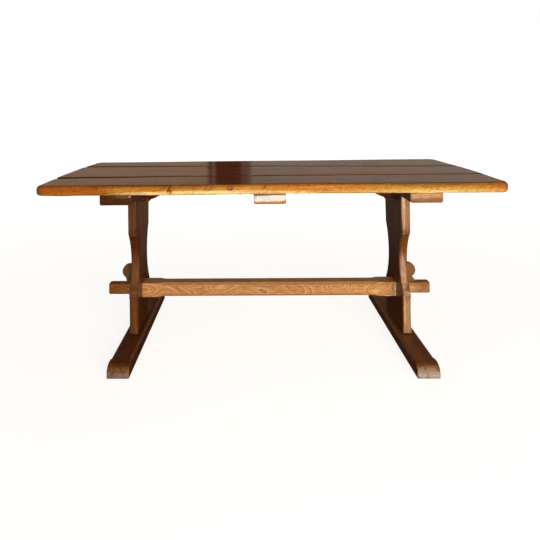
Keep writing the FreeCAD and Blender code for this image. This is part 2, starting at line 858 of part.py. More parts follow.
def make_key(label, shoulder, side_x, turn):
    """A tusk key: a tapered shank through the tenon and a round head over it.

    Its frame is where the upright's outer face meets the top of the tenon.
    """
    body = new_body(label)
    inner = size["key_clearance"]
    bottom = -(size["tenon_height"] + size["key_drop"])
    centre_x = size["key_head_out"]
    centre_z = size["key_head_up"]
    radius = size["key_head_radius"]
    neck_x = size["key_neck_width"]
    neck_fall = (radius * radius - (neck_x - centre_x) * (neck_x - centre_x)).root()
    crown_rise = (radius * radius - (centre_x - inner) * (centre_x - inner)).root()
    rest = inner
    outline = new_sketch(body, f"{label}_outline", "XZ_Plane")
    closed_outline(outline, [
        (inner, bottom),
        (key_width_at(bottom), bottom),
        (key_width_at(rest), rest),
        (shoulder, rest),
        (shoulder, size["key_shoulder_height"]),
        (neck_x, centre_z - neck_fall, radius),
        (centre_x + radius, centre_z, radius),
        (centre_x, centre_z + radius, radius),
        (inner, centre_z + crown_rise),
    ])
    extrude(body, "Pad", f"{label}_blank", outline, size["key_thickness"], both_ways=True)
    half_thickness = size["key_thickness"].number / 2

    def head_arris(middle, edge):
        on_side = abs(abs(middle.y) - half_thickness) < NEAR
        return on_side and isinstance(edge.Curve, Part.Circle)

    dress(body, "Chamfer", f"{label}_arrises", head_arris, size["key_arris"])
    place(body, x=side_x, z=size["stretcher_centre_height"] + tenon_top, turn=turn)


# ---------------------------------------------------------------- brackets

def make_bracket(label, side_x, turn):
    """A bowed bracket in the angle of upright, bearer and top, notched round the bearer.

    Its frame is where the upright's inner face meets the bearer's underside, +X inwards.
    """
    body = new_body(label)
    gap = size["bracket_gap"]
    notch = (size["bearer_width"] - size["upright_thickness"]) / 2 + gap
    rise = size["bearer_thickness"]
    depth = size["bracket_depth"]
    foot = size["bracket_foot"]
    quirk_x = foot + size["bracket_quirk_run"]
    outline = new_sketch(body, f"{label}_outline", "XZ_Plane")
    closed_outline(outline, [
        (0, -depth),
        (foot, -depth),
        (quirk_x, size["bracket_quirk"] - depth, size["bracket_bow_radius"]),
        (size["bracket_length"], rise - size["bracket_tip"]),
        (size["bracket_length"], rise),
        (notch, rise),
        (notch, 0),
        (0, 0),
    ])
    extrude(body, "Pad", f"{label}_block", outline, size["bracket_thickness"], both_ways=True)
    half_thickness = size["bracket_thickness"].number / 2
    foot_end = foot.number

    def bow_arris(middle, edge):
        on_side = abs(abs(middle.y) - half_thickness) < NEAR
        return on_side and middle.x > foot_end and isinstance(edge.Curve, Part.Circle)

    dress(body, "Chamfer", f"{label}_arrises", bow_arris, size["bracket_arris"])
    screw_x = size["bracket_screw_reach"]
    seat = rise - size["bracket_screw_cover"]
    bore(body, f"{label}_screw_hole", -depth, [(screw_x, 0)], screw_hole, depth + rise)
    bore(body, f"{label}_counterbore", -depth, [(screw_x, 0)], size["counterbore_diameter"],
         depth + seat)
    place(body, x=side_x, z=bearer_underside, turn=turn)


def make_bracket_screw(label, side_x, turn):
    """The screw up through the thin end of a bracket into the top."""
    cover = size["bracket_screw_cover"]
    make_screws(label, [(size["bracket_screw_reach"], as_size(0))],
                size["bearer_thickness"] - cover, cover + size["screw_bite"],
                x=side_x, z=bearer_underside, turn=turn)


# ---------------------------------------------------------------- the table

def make_table():
    make_planks()
    make_tongues()
    make_stretcher()
    make_bearer("bearer_centre", as_size(0), False)
    make_bearer_screws("bearer_screws_centre", as_size(0))
    for side, sign, turn in (("left", -1, 180), ("right", 1, 0)):
        side_x = trestle_x * sign
        make_bearer(f"bearer_{side}", side_x, True)
        make_bearer_screws(f"bearer_screws_{side}", side_x)
        make_upright(f"upright_{side}", side_x, turn)
        make_foot(f"foot_{side}", side_x, turn)
        make_glides(f"foot_glides_{side}", side_x)
        make_key(f"tusk_key_{side}", size[f"key_shoulder_{side}"], outer_face_x * sign, turn)
        make_bracket(f"bracket_{side}", shoulder_x * sign, 180 - turn)
        make_bracket_screw(f"bracket_screw_{side}", shoulder_x * sign, 180 - turn)


def sub_parts():
    return [piece for piece in document.Objects if piece.TypeId == "PartDesign::Body"]


def check_model():
    """Stop if any feature failed or any piece is not a sound solid."""
    document.recompute()
    for feature in document.Objects:
        if "Invalid" in feature.State or "Error" in feature.State:
            raise RuntimeError(f"{feature.Label} failed: {feature.State}")
    for piece in sub_parts():
        if piece.Shape.isNull() or not piece.Shape.isValid():
            raise RuntimeError(f"{piece.Label} has no sound shape")


def write_parts():
    os.makedirs("parts", exist_ok=True)
    for piece in sub_parts():
        piece.Shape.exportStep(f"parts/{piece.Label}.step")


make_table()
check_model()
write_parts()
for piece in sub_parts():
    print(f"{piece.Label}: {len(piece.Shape.Solids)} solids, {piece.Shape.Volume / 1000:.1f} cm3")
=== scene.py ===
# %% [markdown]
# # A trestle dining table in polished oak
#
# The table comes in as a finished CAD model: every board, foot and screw is an object of its own,
# in metres, standing on the floor at height zero.  This lesson gives it what CAD leaves out, which
# is the grain, the polish and the soft, slightly uneven edges of boards finished by hand.  The
# boards of the top are modelled again here, and the rest of the table keeps its CAD shape and
# gets a finish.

# %% Load the table
import math

import bmesh
import bpy
from mathutils import Matrix, Vector, noise


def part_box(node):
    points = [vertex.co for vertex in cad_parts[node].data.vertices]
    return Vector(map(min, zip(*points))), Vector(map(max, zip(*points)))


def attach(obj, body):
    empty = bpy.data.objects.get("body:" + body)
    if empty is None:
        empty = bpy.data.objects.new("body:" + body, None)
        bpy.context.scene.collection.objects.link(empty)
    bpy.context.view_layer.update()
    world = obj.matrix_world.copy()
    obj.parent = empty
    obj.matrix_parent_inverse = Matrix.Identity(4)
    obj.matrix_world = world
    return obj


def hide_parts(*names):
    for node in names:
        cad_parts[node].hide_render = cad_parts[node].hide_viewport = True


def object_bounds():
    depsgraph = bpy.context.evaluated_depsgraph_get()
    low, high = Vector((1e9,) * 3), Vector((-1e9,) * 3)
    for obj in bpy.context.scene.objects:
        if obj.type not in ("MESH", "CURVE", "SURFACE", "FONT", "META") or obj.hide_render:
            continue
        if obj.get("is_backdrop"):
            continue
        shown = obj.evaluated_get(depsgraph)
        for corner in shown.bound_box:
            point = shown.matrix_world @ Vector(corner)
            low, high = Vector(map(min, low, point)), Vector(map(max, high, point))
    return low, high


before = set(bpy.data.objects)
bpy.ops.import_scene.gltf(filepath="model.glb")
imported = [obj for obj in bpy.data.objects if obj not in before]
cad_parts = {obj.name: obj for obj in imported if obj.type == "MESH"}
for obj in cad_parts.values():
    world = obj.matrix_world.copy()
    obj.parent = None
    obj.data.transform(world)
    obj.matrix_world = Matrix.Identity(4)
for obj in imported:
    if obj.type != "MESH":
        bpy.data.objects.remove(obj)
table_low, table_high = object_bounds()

print("pieces of the table:", ", ".join(sorted(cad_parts)))

# %% [markdown]
# ## Two small helpers
#
# Wood colours are easiest to pick as hex values, as a paint chart gives them, but the shaders
# reckon in linear light, so one function turns the one into the other.  A material is a graph of
# nodes, and a second function adds a node, sets it up and plugs its inputs in.

# %% Colours and nodes


def linear(hex_colour):
    """Linear RGBA of a colour such as "#8a5a33", by the curve of the sRGB standard."""
    channels = [int(hex_colour[place:place + 2], 16) / 255 for place in (1, 3, 5)]
    return (*[c / 12.92 if c <= 0.04045 else ((c + 0.055) / 1.055) ** 2.4 for c in channels], 1)


def add_node(tree, kind, settings=None, inputs=None):
    """Add a node, set its properties, and give each input a value or a link."""
    node = tree.nodes.new(kind)
    for name, value in (settings or {}).items():
        setattr(node, name, value)
    for name, value in (inputs or {}).items():
        if isinstance(value, bpy.types.NodeSocket):
            tree.links.new(value, node.inputs[name])
        else:
            node.inputs[name].default_value = value
    return node


# %% [markdown]
# ## The camera
#
# A table is long and low, so it is shown from a person's height, looking level, from just left of
# its middle.  A level camera keeps the legs upright.  The table then lies in the lower part of
# the view, and the lens is shifted, as on a view camera, to bring it into the frame.  The camera
# is held by hand, so it leans by a little under one degree.

# %% Camera
FRAME_PIXELS = 540
FOCAL_PIXELS = 458.84
AXIS_PIXELS = (242.0, 104.15)  # where the line of sight meets the frame, from its top left
SENSOR_MM = 36
CAMERA_PLACE = (-0.0675, -2.1625, 1.0731)
CAMERA_TURN = 0.0206  # radians, to the left
CAMERA_LEAN = -0.013  # radians

camera_data = bpy.data.cameras.new("table_camera")
camera_data.sensor_width = SENSOR_MM
camera_data.lens = FOCAL_PIXELS / FRAME_PIXELS * SENSOR_MM
camera_data.shift_x = (FRAME_PIXELS / 2 - AXIS_PIXELS[0]) / FRAME_PIXELS
camera_data.shift_y = (AXIS_PIXELS[1] - FRAME_PIXELS / 2) / FRAME_PIXELS
camera = bpy.data.objects.new("table_camera", camera_data)
bpy.context.collection.objects.link(camera)
camera.matrix_world = (
    Matrix.Translation(CAMERA_PLACE)
    @ Matrix.Rotation(CAMERA_TURN, 4, "Z")
    @ Matrix.Rotation(math.radians(90), 4, "X")
    @ Matrix.Rotation(CAMERA_LEAN, 4, "Z")
)
bpy.context.scene.camera = camera
print(f"lens {camera_data.lens:.1f} mm, shift {camera_data.shift_x:.3f}, {camera_data.shift_y:.3f}")

# %% [markdown]
# ## The sky of the studio
#
# The room is a plain studio under an even white sky, and three skies make it.  The camera sees a
# white one.  The wood is lit by a much weaker one, or the lamps couldn't model it.  The polish
# mirrors a third: dark, with a dim band just under the horizon, which the inner faces of the
# trestles show as a grey sheen.

# %% Sky
LIGHTING_SKY = 0.24
DARK_SKY = 0.006
BAND_GLOW = 0.11
BAND_LOWER_EDGE = (-0.34, -0.24)  # the band fades in between these heights of the direction
BAND_UPPER_EDGE = (0.0, 0.06)  # and out between these; the horizon is 0 and straight up is 1

scene = bpy.context.scene
scene.view_settings.view_transform = "Standard"

world = bpy.data.worlds.new("studio")
scene.world = world
world.use_nodes = True
sky = world.node_tree
sky.nodes.clear()
seen_sky = add_node(sky, "ShaderNodeBackground", inputs={
    "Color": linear("#ffffff"), "Strength": 1.0})
lighting_sky = add_node(sky, "ShaderNodeBackground", inputs={
    "Color": linear("#f0ede8"), "Strength": LIGHTING_SKY})
direction = add_node(sky, "ShaderNodeTexCoord")
rise = add_node(sky, "ShaderNodeSeparateXYZ", inputs={0: direction.outputs["Generated"]})
fade_in = add_node(sky, "ShaderNodeMapRange", inputs={
    "Value": rise.outputs["Z"], "From Min": BAND_LOWER_EDGE[0], "From Max": BAND_LOWER_EDGE[1],
    "To Max": BAND_GLOW})
fade_out = add_node(sky, "ShaderNodeMapRange", inputs={
    "Value": rise.outputs["Z"], "From Min": BAND_UPPER_EDGE[1], "From Max": BAND_UPPER_EDGE[0]})
dim_band = add_node(sky, "ShaderNodeMath", {"operation": "MULTIPLY_ADD"}, {
    0: fade_in.outputs[0], 1: fade_out.outputs[0], 2: DARK_SKY})
mirrored_sky = add_node(sky, "ShaderNodeBackground", inputs={
    "Color": linear("#f0ded0"), "Strength": dim_band.outputs[0]})
light_path = add_node(sky, "ShaderNodeLightPath")
unseen_sky = add_node(sky, "ShaderNodeMixShader", inputs={
    0: light_path.outputs["Is Glossy Ray"], 1: lighting_sky.outputs[0],
    2: mirrored_sky.outputs[0]})
whole_sky = add_node(sky, "ShaderNodeMixShader", inputs={
    0: light_path.outputs["Is Camera Ray"], 1: unseen_sky.outputs[0], 2: seen_sky.outputs[0]})
add_node(sky, "ShaderNodeOutputWorld", inputs={"Surface": whole_sky.outputs[0]})
print(f"sky: {len(sky.nodes)} nodes")

# %% [markdown]
# ## The lights
#
# A wide window light stands in front, and a bounce card lies on the floor before the table, to
# the right of its middle.  Between them the faces towards the viewer are bright, brightest where
# they lean downwards, and the boards that face each other fall into shade.  Both are strong, and
# polish would mirror them as hard white glare, so they only light the wood.  A wide dim light
# that is only mirrored takes their place, and gives a soft sheen to the faces that lean back.  A
# weak light behind does for the back of the table what the front window does for its front.
#
# Low windows behind the table are there for the polish: seen at a flat angle, the top mirrors
# them as a soft brown sheen, with a darker band where there is wall between them.  A thin post
# and the frame of the right window stand in that gap, and show as two faint lines in the sheen.

# %% Lights


def soft_light(name, place, target, size, watts, colour, lights=True, mirrored=True):
    """A rectangular soft light that faces a target and isn't seen itself.

    lights says whether it lights the wood, and mirrored whether the polish shows it.
    """
    data = bpy.data.lights.new(name, "AREA")
    data.shape = "RECTANGLE"
    data.size, data.size_y = size
    data.energy = watts
    data.color = linear(colour)[:3]
    light = bpy.data.objects.new(name, data)
    bpy.context.collection.objects.link(light)
    light.visible_camera = False
    light.visible_diffuse = lights
    light.visible_glossy = mirrored
    aim = (Vector(target) - Vector(place)).to_track_quat("-Z", "Y")
    light.matrix_world = Matrix.Translation(place) @ aim.to_matrix().to_4x4()
    print(f"{name}: {size[0]} x {size[1]} m, {watts} W")


soft_light("front_window", place=(0.9, -3.6, 1.0), target=(0.15, 0, 0.45), size=(2.8, 1.2),
           watts=112, colour="#fff0dc", mirrored=False)
soft_light("bounce_card", place=(0.6, -1.75, 0.02), target=(0.45, -1.35, 1.0), size=(2.4, 1.5),
           watts=42, colour="#fff0d0", mirrored=False)
soft_light("front_sheen", place=(0, -3.6, 1.35), target=(0, 0, 0.5), size=(6.0, 1.5),
           watts=12, colour="#fff0e6", lights=False)
soft_light("back_fill", place=(0, 5.0, 1.5), target=(0, 0, 0.4), size=(2.8, 1.2),
           watts=55, colour="#fff4e8", mirrored=False)
for part, x, width, watts, colour in (("left", -2.9, 4.2, 6.6, "#ffdfbc"),
                                      ("right", 2.785, 6.3, 9.9, "#f4e6d0"),
                                      ("post", -0.80, 0.07, 0.05, "#ffdfbf"),
                                      ("frame", -0.20, 0.16, 0.07, "#ffdfbf")):
    soft_light(f"back_window_{part}", place=(x, 6.5, 1.75), target=(0, 0, 0.7),
               size=(width, 1.6), watts=watts, colour=colour)

# %% [markdown]
# ## The floor
#
# The floor is white and runs to the horizon.  It glows by itself, as a white floor does when the
# whole room is lit, and glows more further out, where the lamps don't reach.  Near the table it
# takes the soft shadow.  It neither lights the wood nor shows in the polish, because the sky and
# the lights already stand for a whole room.

# %% Floor
FLOOR_REACH = 400  # metres from the table to the horizon, on each side
GLOW_FROM, GLOW_TO = 0.6, 6.0  # metres from the middle of the table
GLOW_NEAR, GLOW_FAR = 0.87, 0.985

bm = bmesh.new()
bmesh.ops.create_grid(bm, x_segments=1, y_segments=1, size=FLOOR_REACH)
floor_mesh = bpy.data.meshes.new("studio_floor")
bm.to_mesh(floor_mesh)
bm.free()
floor = bpy.data.objects.new("studio_floor", floor_mesh)
bpy.context.collection.objects.link(floor)
floor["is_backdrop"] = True
floor.visible_diffuse = False
floor.visible_glossy = False

floor_paint = bpy.data.materials.new("pale floor paint")
floor_paint.use_nodes = True
floor_tree = floor_paint.node_tree
floor_shader = floor_tree.nodes["Principled BSDF"]
for socket, value in (("Base Color", linear("#a09f9e")), ("Roughness", 0.9),
                      ("Specular IOR Level", 0.0), ("Emission Color", linear("#fdfcfa"))):
    floor_shader.inputs[socket].default_value = value
floor_place = add_node(floor_tree, "ShaderNodeTexCoord")
away = add_node(floor_tree, "ShaderNodeVectorMath", {"operation": "LENGTH"}, {
    0: floor_place.outputs["Object"]})
glow = add_node(floor_tree, "ShaderNodeMapRange", {"interpolation_type": "SMOOTHSTEP"}, {
    "Value": away.outputs["Value"], "From Min": GLOW_FROM, "From Max": GLOW_TO,
    "To Min": GLOW_NEAR, "To Max": GLOW_FAR})
floor_tree.links.new(glow.outputs[0], floor_shader.inputs["Emission Strength"])
floor_mesh.materials.append(floor_paint)
print(f"floor: {floor.dimensions.x:.0f} x {floor.dimensions.y:.0f} m")

# %% [markdown]
# ## Oak
#
# A board is a slice of a log, so its figure needs no drawing.  The growth rings are cylinders
# about the pith; where a face cuts them flat they make the pointed arches and ovals of a
# cathedral figure, where it cuts them upright they make straight stripes, and at the end of the
# board they show as arcs.  The material works this out from a point's place in the log, so every
# face of a board agrees with its neighbours.
#
# A Mapping node lays the log along the board.  A slow noise then pushes the rings sideways, since
# no log is straight, and a knot pushes them aside round itself.  Most marks in wood are long and
# thin, so one function makes a noise of a given length and width in millimetres.

# %% Rings of the log
WAVE_RING = 2 * math.pi / 20 * 1000  # mm between the rings of a Wave Texture at scale 1
ALONG_X = (0, 0, 0)
ALONG_Y = (0, 0, math.radians(-90))
ALONG_Z = (0, math.radians(90), 0)
EDGE_NOISE = 1.2  # how far, in reaches, a noise pushes the edge of a patch about
ROUGH_EDGE = 1 + EDGE_NOISE / 2  # that noise averages a half, so the edge stays at the reach
NOISE_SWING = 0.25  # how far a Noise Texture strays from a half, most of the time
WANDER_ACROSS_MM = 143
KNOT_LENGTH = 2.6  # along the board, in radii of the knot
KNOT_SHOVE = 1.4  # how far the rings are pushed aside, in radii


def long_noise(tree, place, along_mm, across_mm, detail, roughness=0.5):
    """A noise whose marks are so long along the log and so wide across it."""
    stretched = add_node(tree, "ShaderNodeMapping", inputs={
        "Vector": place, "Scale": (1000 / along_mm, 1000 / across_mm, 1000 / across_mm)})
    return add_node(tree, "ShaderNodeTexNoise", inputs={
        "Vector": stretched.outputs[0], "Scale": 1.0, "Detail": detail, "Roughness": roughness})


def nearness(tree, place, centre, reach, rough=None, soft=1.0):
    """1 at a centre, falling to 0 at the reach (x, y, z) from it, at a rough edge if asked."""
    offset = add_node(tree, "ShaderNodeVectorMath", {"operation": "SUBTRACT"}, {
        0: place, 1: centre})
    scaled = add_node(tree, "ShaderNodeVectorMath", {"operation": "DIVIDE"}, {
        0: offset.outputs[0], 1: reach})
    distance = add_node(tree, "ShaderNodeVectorMath", {"operation": "LENGTH"}, {
        0: scaled.outputs[0]}).outputs["Value"]
    edge = 1.0
    if rough is not None:
        distance = add_node(tree, "ShaderNodeMath", {"operation": "MULTIPLY_ADD"}, {
            0: rough, 1: EDGE_NOISE, 2: distance}).outputs[0]
        edge = ROUGH_EDGE
    return add_node(tree, "ShaderNodeMapRange", {"interpolation_type": "SMOOTHSTEP"}, {
        "Value": distance, "From Min": edge, "From Max": edge - soft}).outputs[0]


def bend_log(tree, log, place, wander_mm, wander_pitch, wander_detail, knots):
    """Push the log's rings sideways with a slow noise, and round each knot."""
    slow = long_noise(tree, log, wander_pitch, WANDER_ACROSS_MM, wander_detail, roughness=0.4)
    centred = add_node(tree, "ShaderNodeVectorMath", {"operation": "SUBTRACT"}, {
        0: slow.outputs["Color"], 1: (0.5, 0.5, 0.5)})
    push = wander_mm / 1000 / NOISE_SWING
    bent = add_node(tree, "ShaderNodeVectorMath", {"operation": "MULTIPLY_ADD"}, {
        0: centred.outputs[0], 1: (0, push, push), 2: log}).outputs[0]
    for centre, radius in knots:
        swell = nearness(tree, place, centre, (radius * KNOT_LENGTH, radius, radius))
        sideways = add_node(tree, "ShaderNodeCombineXYZ", inputs={1: swell, 2: swell})
        shove = radius * KNOT_SHOVE
        bent = add_node(tree, "ShaderNodeVectorMath", {"operation": "MULTIPLY_ADD"}, {
            0: sideways.outputs[0], 1: (0, shove, shove), 2: bent}).outputs[0]
    return bent


# %% [markdown]
# Wood laid down in spring is porous and takes the most stain, and it fades into the denser wood
# of summer.  The stretcher, which was never stained, also shows a fine pale line where one year
# ends.  Real oak rings are 2 to 4 mm apart, too fine to show from across a room, so they are
# drawn 7.5 to 9 mm apart.

# %% Spring and summer wood


def growth_rings(tree, bent, ring_mm, twist, ring_strength, line_strength):
    """How much dark spring wood shows, and how much of the pale line between the years."""
    rings = add_node(tree, "ShaderNodeTexWave", {
        "wave_type": "RINGS", "rings_direction": "X", "wave_profile": "SAW"}, {
        "Vector": bent, "Scale": WAVE_RING / ring_mm, "Distortion": twist,
        "Detail": 2.0, "Detail Scale": 1.5, "Detail Roughness": 0.5})
    spring = add_node(tree, "ShaderNodeMapRange", {"interpolation_type": "SMOOTHSTEP"}, {
        "Value": rings.outputs["Fac"], "From Min": 0.45, "From Max": 1.0,
        "To Max": ring_strength})
    pale_line = add_node(tree, "ShaderNodeMapRange", inputs={
        "Value": rings.outputs["Fac"], "From Min": 0.3, "From Max": 0.04,
        "To Max": line_strength})
    return spring.outputs[0], pale_line.outputs[0]


# %% [markdown]
# Three things lie on the rings.  The open pores of the spring wood hold the dark stain, the
# fibres are long and fine, and the rays are pale ribbons that run out from the pith.  Real pores
# are a third of a millimetre wide, and are drawn at 1 mm, with 2.4 mm from one to the next.

# %% Pores, fibres and rays
FIBRE_MM = (385, 8.33)
PORE_MM = (33.3, 2.38)
RAY_LENGTH_MM = 20
RAY_DEPTH_MM = 31.25
RAY_ANGLE = 1 / 55  # radians about the pith from one ribbon to the next


def pores_and_fibres(tree, log):
    """Two noises stretched along the log: dark pores, 0 or 1, and fibres about 0.5."""
    fibre = long_noise(tree, log, *FIBRE_MM, detail=4.0, roughness=0.6)
    pore_noise = long_noise(tree, log, *PORE_MM, detail=1.0)
    pore = add_node(tree, "ShaderNodeMapRange", inputs={
        "Value": pore_noise.outputs["Fac"], "From Min": 0.56, "From Max": 0.68})
    return pore.outputs[0], fibre.outputs["Fac"]


def rays(tree, bent, strength):
    """Ribbons that run out from the pith: a noise over angle, radius and length."""
    split = add_node(tree, "ShaderNodeSeparateXYZ", inputs={0: bent})
    angle = add_node(tree, "ShaderNodeMath", {"operation": "ARCTAN2"}, {
        0: split.outputs["Z"], 1: split.outputs["Y"]})
    across = add_node(tree, "ShaderNodeCombineXYZ", inputs={
        0: split.outputs["Y"], 1: split.outputs["Z"]})
    radius = add_node(tree, "ShaderNodeVectorMath", {"operation": "LENGTH"}, {
        0: across.outputs[0]})
    polar = add_node(tree, "ShaderNodeCombineXYZ", inputs={
        0: split.outputs["X"], 1: radius.outputs["Value"], 2: angle.outputs[0]})
    ribbon_place = add_node(tree, "ShaderNodeMapping", inputs={
        "Vector": polar.outputs[0],
        "Scale": (1000 / RAY_LENGTH_MM, 1000 / RAY_DEPTH_MM, 1 / RAY_ANGLE)})
    ribbon = add_node(tree, "ShaderNodeTexNoise", inputs={
        "Vector": ribbon_place.outputs[0], "Scale": 1.0, "Detail": 1.0})
    return add_node(tree, "ShaderNodeMapRange", {"interpolation_type": "SMOOTHSTEP"}, {
        "Value": ribbon.outputs["Fac"], "From Min": 0.58, "From Max": 0.72,
        "To Max": strength}).outputs[0]


# %% [markdown]
# At the end of a board the pores are cut across and show as dots, and the wood dries and cracks
# there first, along the rays.  The dots are drawn 6.7 mm apart, far larger than pores are, and
# the cracks are the thin seams between the cells of a Voronoi Texture stretched upwards, kept
# only where a slow noise allows, because a real end has a few cracks and not a net of them.

# %% Marks on end grain
DOT_MM = (50, 6.67)
DOT_BROWN = "#3a2312"
CRACK_BROWN = "#2c190d"
CRACK_CELL_MM = (170, 17, 38)  # along the board, across it and upwards
CRACK_LEAN = 0.5  # radians
CRACK_AREA_MM = (111.1, 33.3)


def end_marks(tree, log, cracks):
    """Pairs of a dark colour and how much of it shows: pore dots and drying cracks."""
    dots = long_noise(tree, log, *DOT_MM, detail=1.0)
    dot = add_node(tree, "ShaderNodeMapRange", inputs={
        "Value": dots.outputs["Fac"], "From Min": 0.62, "From Max": 0.72, "To Max": 0.6})
    leaning = add_node(tree, "ShaderNodeMapping", {"vector_type": "TEXTURE"}, {
        "Vector": log, "Rotation": (CRACK_LEAN, 0, 0),
        "Scale": [side / 1000 for side in CRACK_CELL_MM]})
    seams = add_node(tree, "ShaderNodeTexVoronoi", {"feature": "DISTANCE_TO_EDGE"}, {
        "Vector": leaning.outputs[0], "Scale": 1.0})
    seam = add_node(tree, "ShaderNodeMapRange", inputs={
        "Value": seams.outputs["Distance"], "From Min": 0.08, "From Max": 0.02})
    where = long_noise(tree, log, *CRACK_AREA_MM, detail=0.0)
    allowed = add_node(tree, "ShaderNodeMapRange", inputs={
        "Value": where.outputs["Fac"], "From Min": 0.34, "From Max": 0.50, "To Max": cracks})
    crack = add_node(tree, "ShaderNodeMath", {"operation": "MULTIPLY"}, {
        0: seam.outputs[0], 1: allowed.outputs[0]})
    return [(DOT_BROWN, dot.outputs[0]), (CRACK_BROWN, crack.outputs[0])]


# %% [markdown]
# ## Stain and polish
#
# The colours go on in the order in which the real table got them: bare wood, darker on the rings;
# stain, which the end grain drinks and the pores hold; and then years of use.  One function lays
# a colour over another, and the steps after it use it.
#
# A waney edge is the tree's own outer surface, so it runs with the rings instead of cutting them.
# It shows few stripes, and more of the short dark strokes where pores come out at a slant, which
# crowd together at a knot.  They are drawn 25 mm long and 5 mm wide, several times life size.

# %% Marks on a waney edge
STROKE_MM = (25, 25, 5)  # along the board, across it and upwards, before they lean
STROKE_LEAN = math.radians(-52)
STROKE_STAIN = "#6a3c18"
KNOT_BROWN = "#7a4416"
KNOT_CORE = 1.6  # how far the brown of a knot reaches sideways, in radii


def blend(tree, amount, below, above, how="MIX"):
    """Mix two colours, each a hex value or a socket."""
    layers = [linear(layer) if isinstance(layer, str) else layer for layer in (below, above)]
    return add_node(tree, "ShaderNodeMix", {"data_type": "RGBA", "blend_type": how}, {
        0: amount, 6: layers[0], 7: layers[1]}).outputs[2]


def waney_edge(tree, place, facing, colour, spring, strength, knots):
    """The colour with its strokes and knots, and the spring wood with fewer stripes."""
    on_edge = add_node(tree, "ShaderNodeMapRange", inputs={
        "Value": facing.outputs["Y"], "From Min": 0.3, "From Max": 0.7}).outputs[0]
    fewer = add_node(tree, "ShaderNodeMapRange", inputs={
        "Value": on_edge, "To Min": 1.0, "To Max": 0.3})
    spring = add_node(tree, "ShaderNodeMath", {"operation": "MULTIPLY"}, {
        0: spring, 1: fewer.outputs[0]}).outputs[0]
    leaning = add_node(tree, "ShaderNodeMapping", {"vector_type": "TEXTURE"}, {
        "Vector": place, "Rotation": (0, STROKE_LEAN, 0),
        "Scale": [side / 1000 for side in STROKE_MM]})
    slant = add_node(tree, "ShaderNodeTexNoise", inputs={
        "Vector": leaning.outputs[0], "Scale": 1.0, "Detail": 2.0,
        "Distortion": 0.6}).outputs["Fac"]
    stroke = add_node(tree, "ShaderNodeMapRange", inputs={
        "Value": slant, "From Min": 0.50, "From Max": 0.68, "To Max": strength})
    shown = add_node(tree, "ShaderNodeMath", {"operation": "MULTIPLY"}, {
        0: stroke.outputs[0], 1: on_edge})
    colour = blend(tree, shown.outputs[0], colour, STROKE_STAIN, "MULTIPLY")
    for centre, radius in knots:
        core = nearness(tree, place, centre, (radius * KNOT_CORE, radius * KNOT_CORE, radius))
        crowd = add_node(tree, "ShaderNodeMapRange", inputs={
            "Value": slant, "From Min": 0.40, "From Max": 0.54, "To Max": 1.6})
        knot = add_node(tree, "ShaderNodeMath", {"operation": "MULTIPLY", "use_clamp": True}, {
            0: crowd.outputs[0], 1: core})
        colour = blend(tree, knot.outputs[0], colour, KNOT_BROWN)
    return colour, spring


# %% [markdown]
# Years of hands and cloths rub the arrises pale, and the pale also stands in for the highlight
# that a lit arris shows, so it is partly wear and partly a painted highlight.  The Bevel node
# finds the arrises, since the rounded normal that it gives differs there from the true one.  It
# also softens them, so that light catches on each edge.
#
# The gloss varies a little with the fibres, and the pores are sunk into the wood.  Polish isn't
# quite flat either: it sinks over the softer wood, in long low waves along the grain.  They can't
# be felt, but at a flat angle they turn an even sheen into fine streaks, so the coat gets a bump
# of its own.

# %% Worn arrises with painted highlights, gloss and relief
FIBRE_RELIEF = 0.0004  # metres
WAVE_MM = (455, 22.2)


def rub_and_light_arrises(tree, colour, worn, arris_mm, strength):
    """The colour with its arrises paled, partly by wear and partly as a painted highlight, and the
    rounded normal.
    """
    rounded = add_node(tree, "ShaderNodeBevel", {"samples": 8}, {
        "Radius": arris_mm / 1000}).outputs[0]
    surface = add_node(tree, "ShaderNodeNewGeometry")
    agree = add_node(tree, "ShaderNodeVectorMath", {"operation": "DOT_PRODUCT"}, {
        0: rounded, 1: surface.outputs["Normal"]})
    rubbed_and_lit = add_node(tree, "ShaderNodeMapRange", inputs={
        "Value": agree.outputs["Value"], "From Min": 0.98, "From Max": 0.8,
        "To Max": strength})
    return blend(tree, rubbed_and_lit.outputs[0], colour, worn), rounded


def gloss_and_relief(tree, shader, bent, pore, fibre, rounded, roughness, sheen_relief):
    """Vary the shader's roughness, and give the wood and the polish a bump each."""
    gloss = add_node(tree, "ShaderNodeMapRange", inputs={
        "Value": fibre, "From Min": 0.3, "From Max": 0.7,
        "To Min": roughness - 0.06, "To Max": roughness + 0.08})
    tree.links.new(gloss.outputs[0], shader.inputs["Roughness"])
    relief = add_node(tree, "ShaderNodeMath", {"operation": "SUBTRACT"}, {0: fibre, 1: pore})
    bump = add_node(tree, "ShaderNodeBump", inputs={
        "Strength": 0.35, "Distance": FIBRE_RELIEF, "Height": relief.outputs[0],
        "Normal": rounded})
    tree.links.new(bump.outputs[0], shader.inputs["Normal"])
    waves = long_noise(tree, bent, *WAVE_MM, detail=3.0, roughness=0.6)
    polish = add_node(tree, "ShaderNodeBump", inputs={
        "Strength": 1.0, "Distance": sheen_relief, "Height": waves.outputs["Fac"],
        "Normal": rounded})
    tree.links.new(polish.outputs[0], shader.inputs["Coat Normal"])


# %% [markdown]
# The stain goes on with the rings, the fibres, the rays and the pores in turn.  Its patches are
# places where it took differently, and many are painted light and shade laid over it.  The ends
# of the boards have a colour and marks of their own, and the old wax in the joints is painted on
# the boards themselves, as an attribute, which also paints shade where a joint has opened.

# %% Stain and painted light
TONE_MM = (909, 90.9)  # a slow change of tone
TONE_DEPTH = 0.2
FIBRE_DEPTH = 0.16
PORE_DEPTH = 0.5
END_GRAIN_SHARE = 0.8
# the joints' darkening: old wax, and painted shade where the front joint has opened
JOINT_WAX_AND_SHADE = "#26140a"


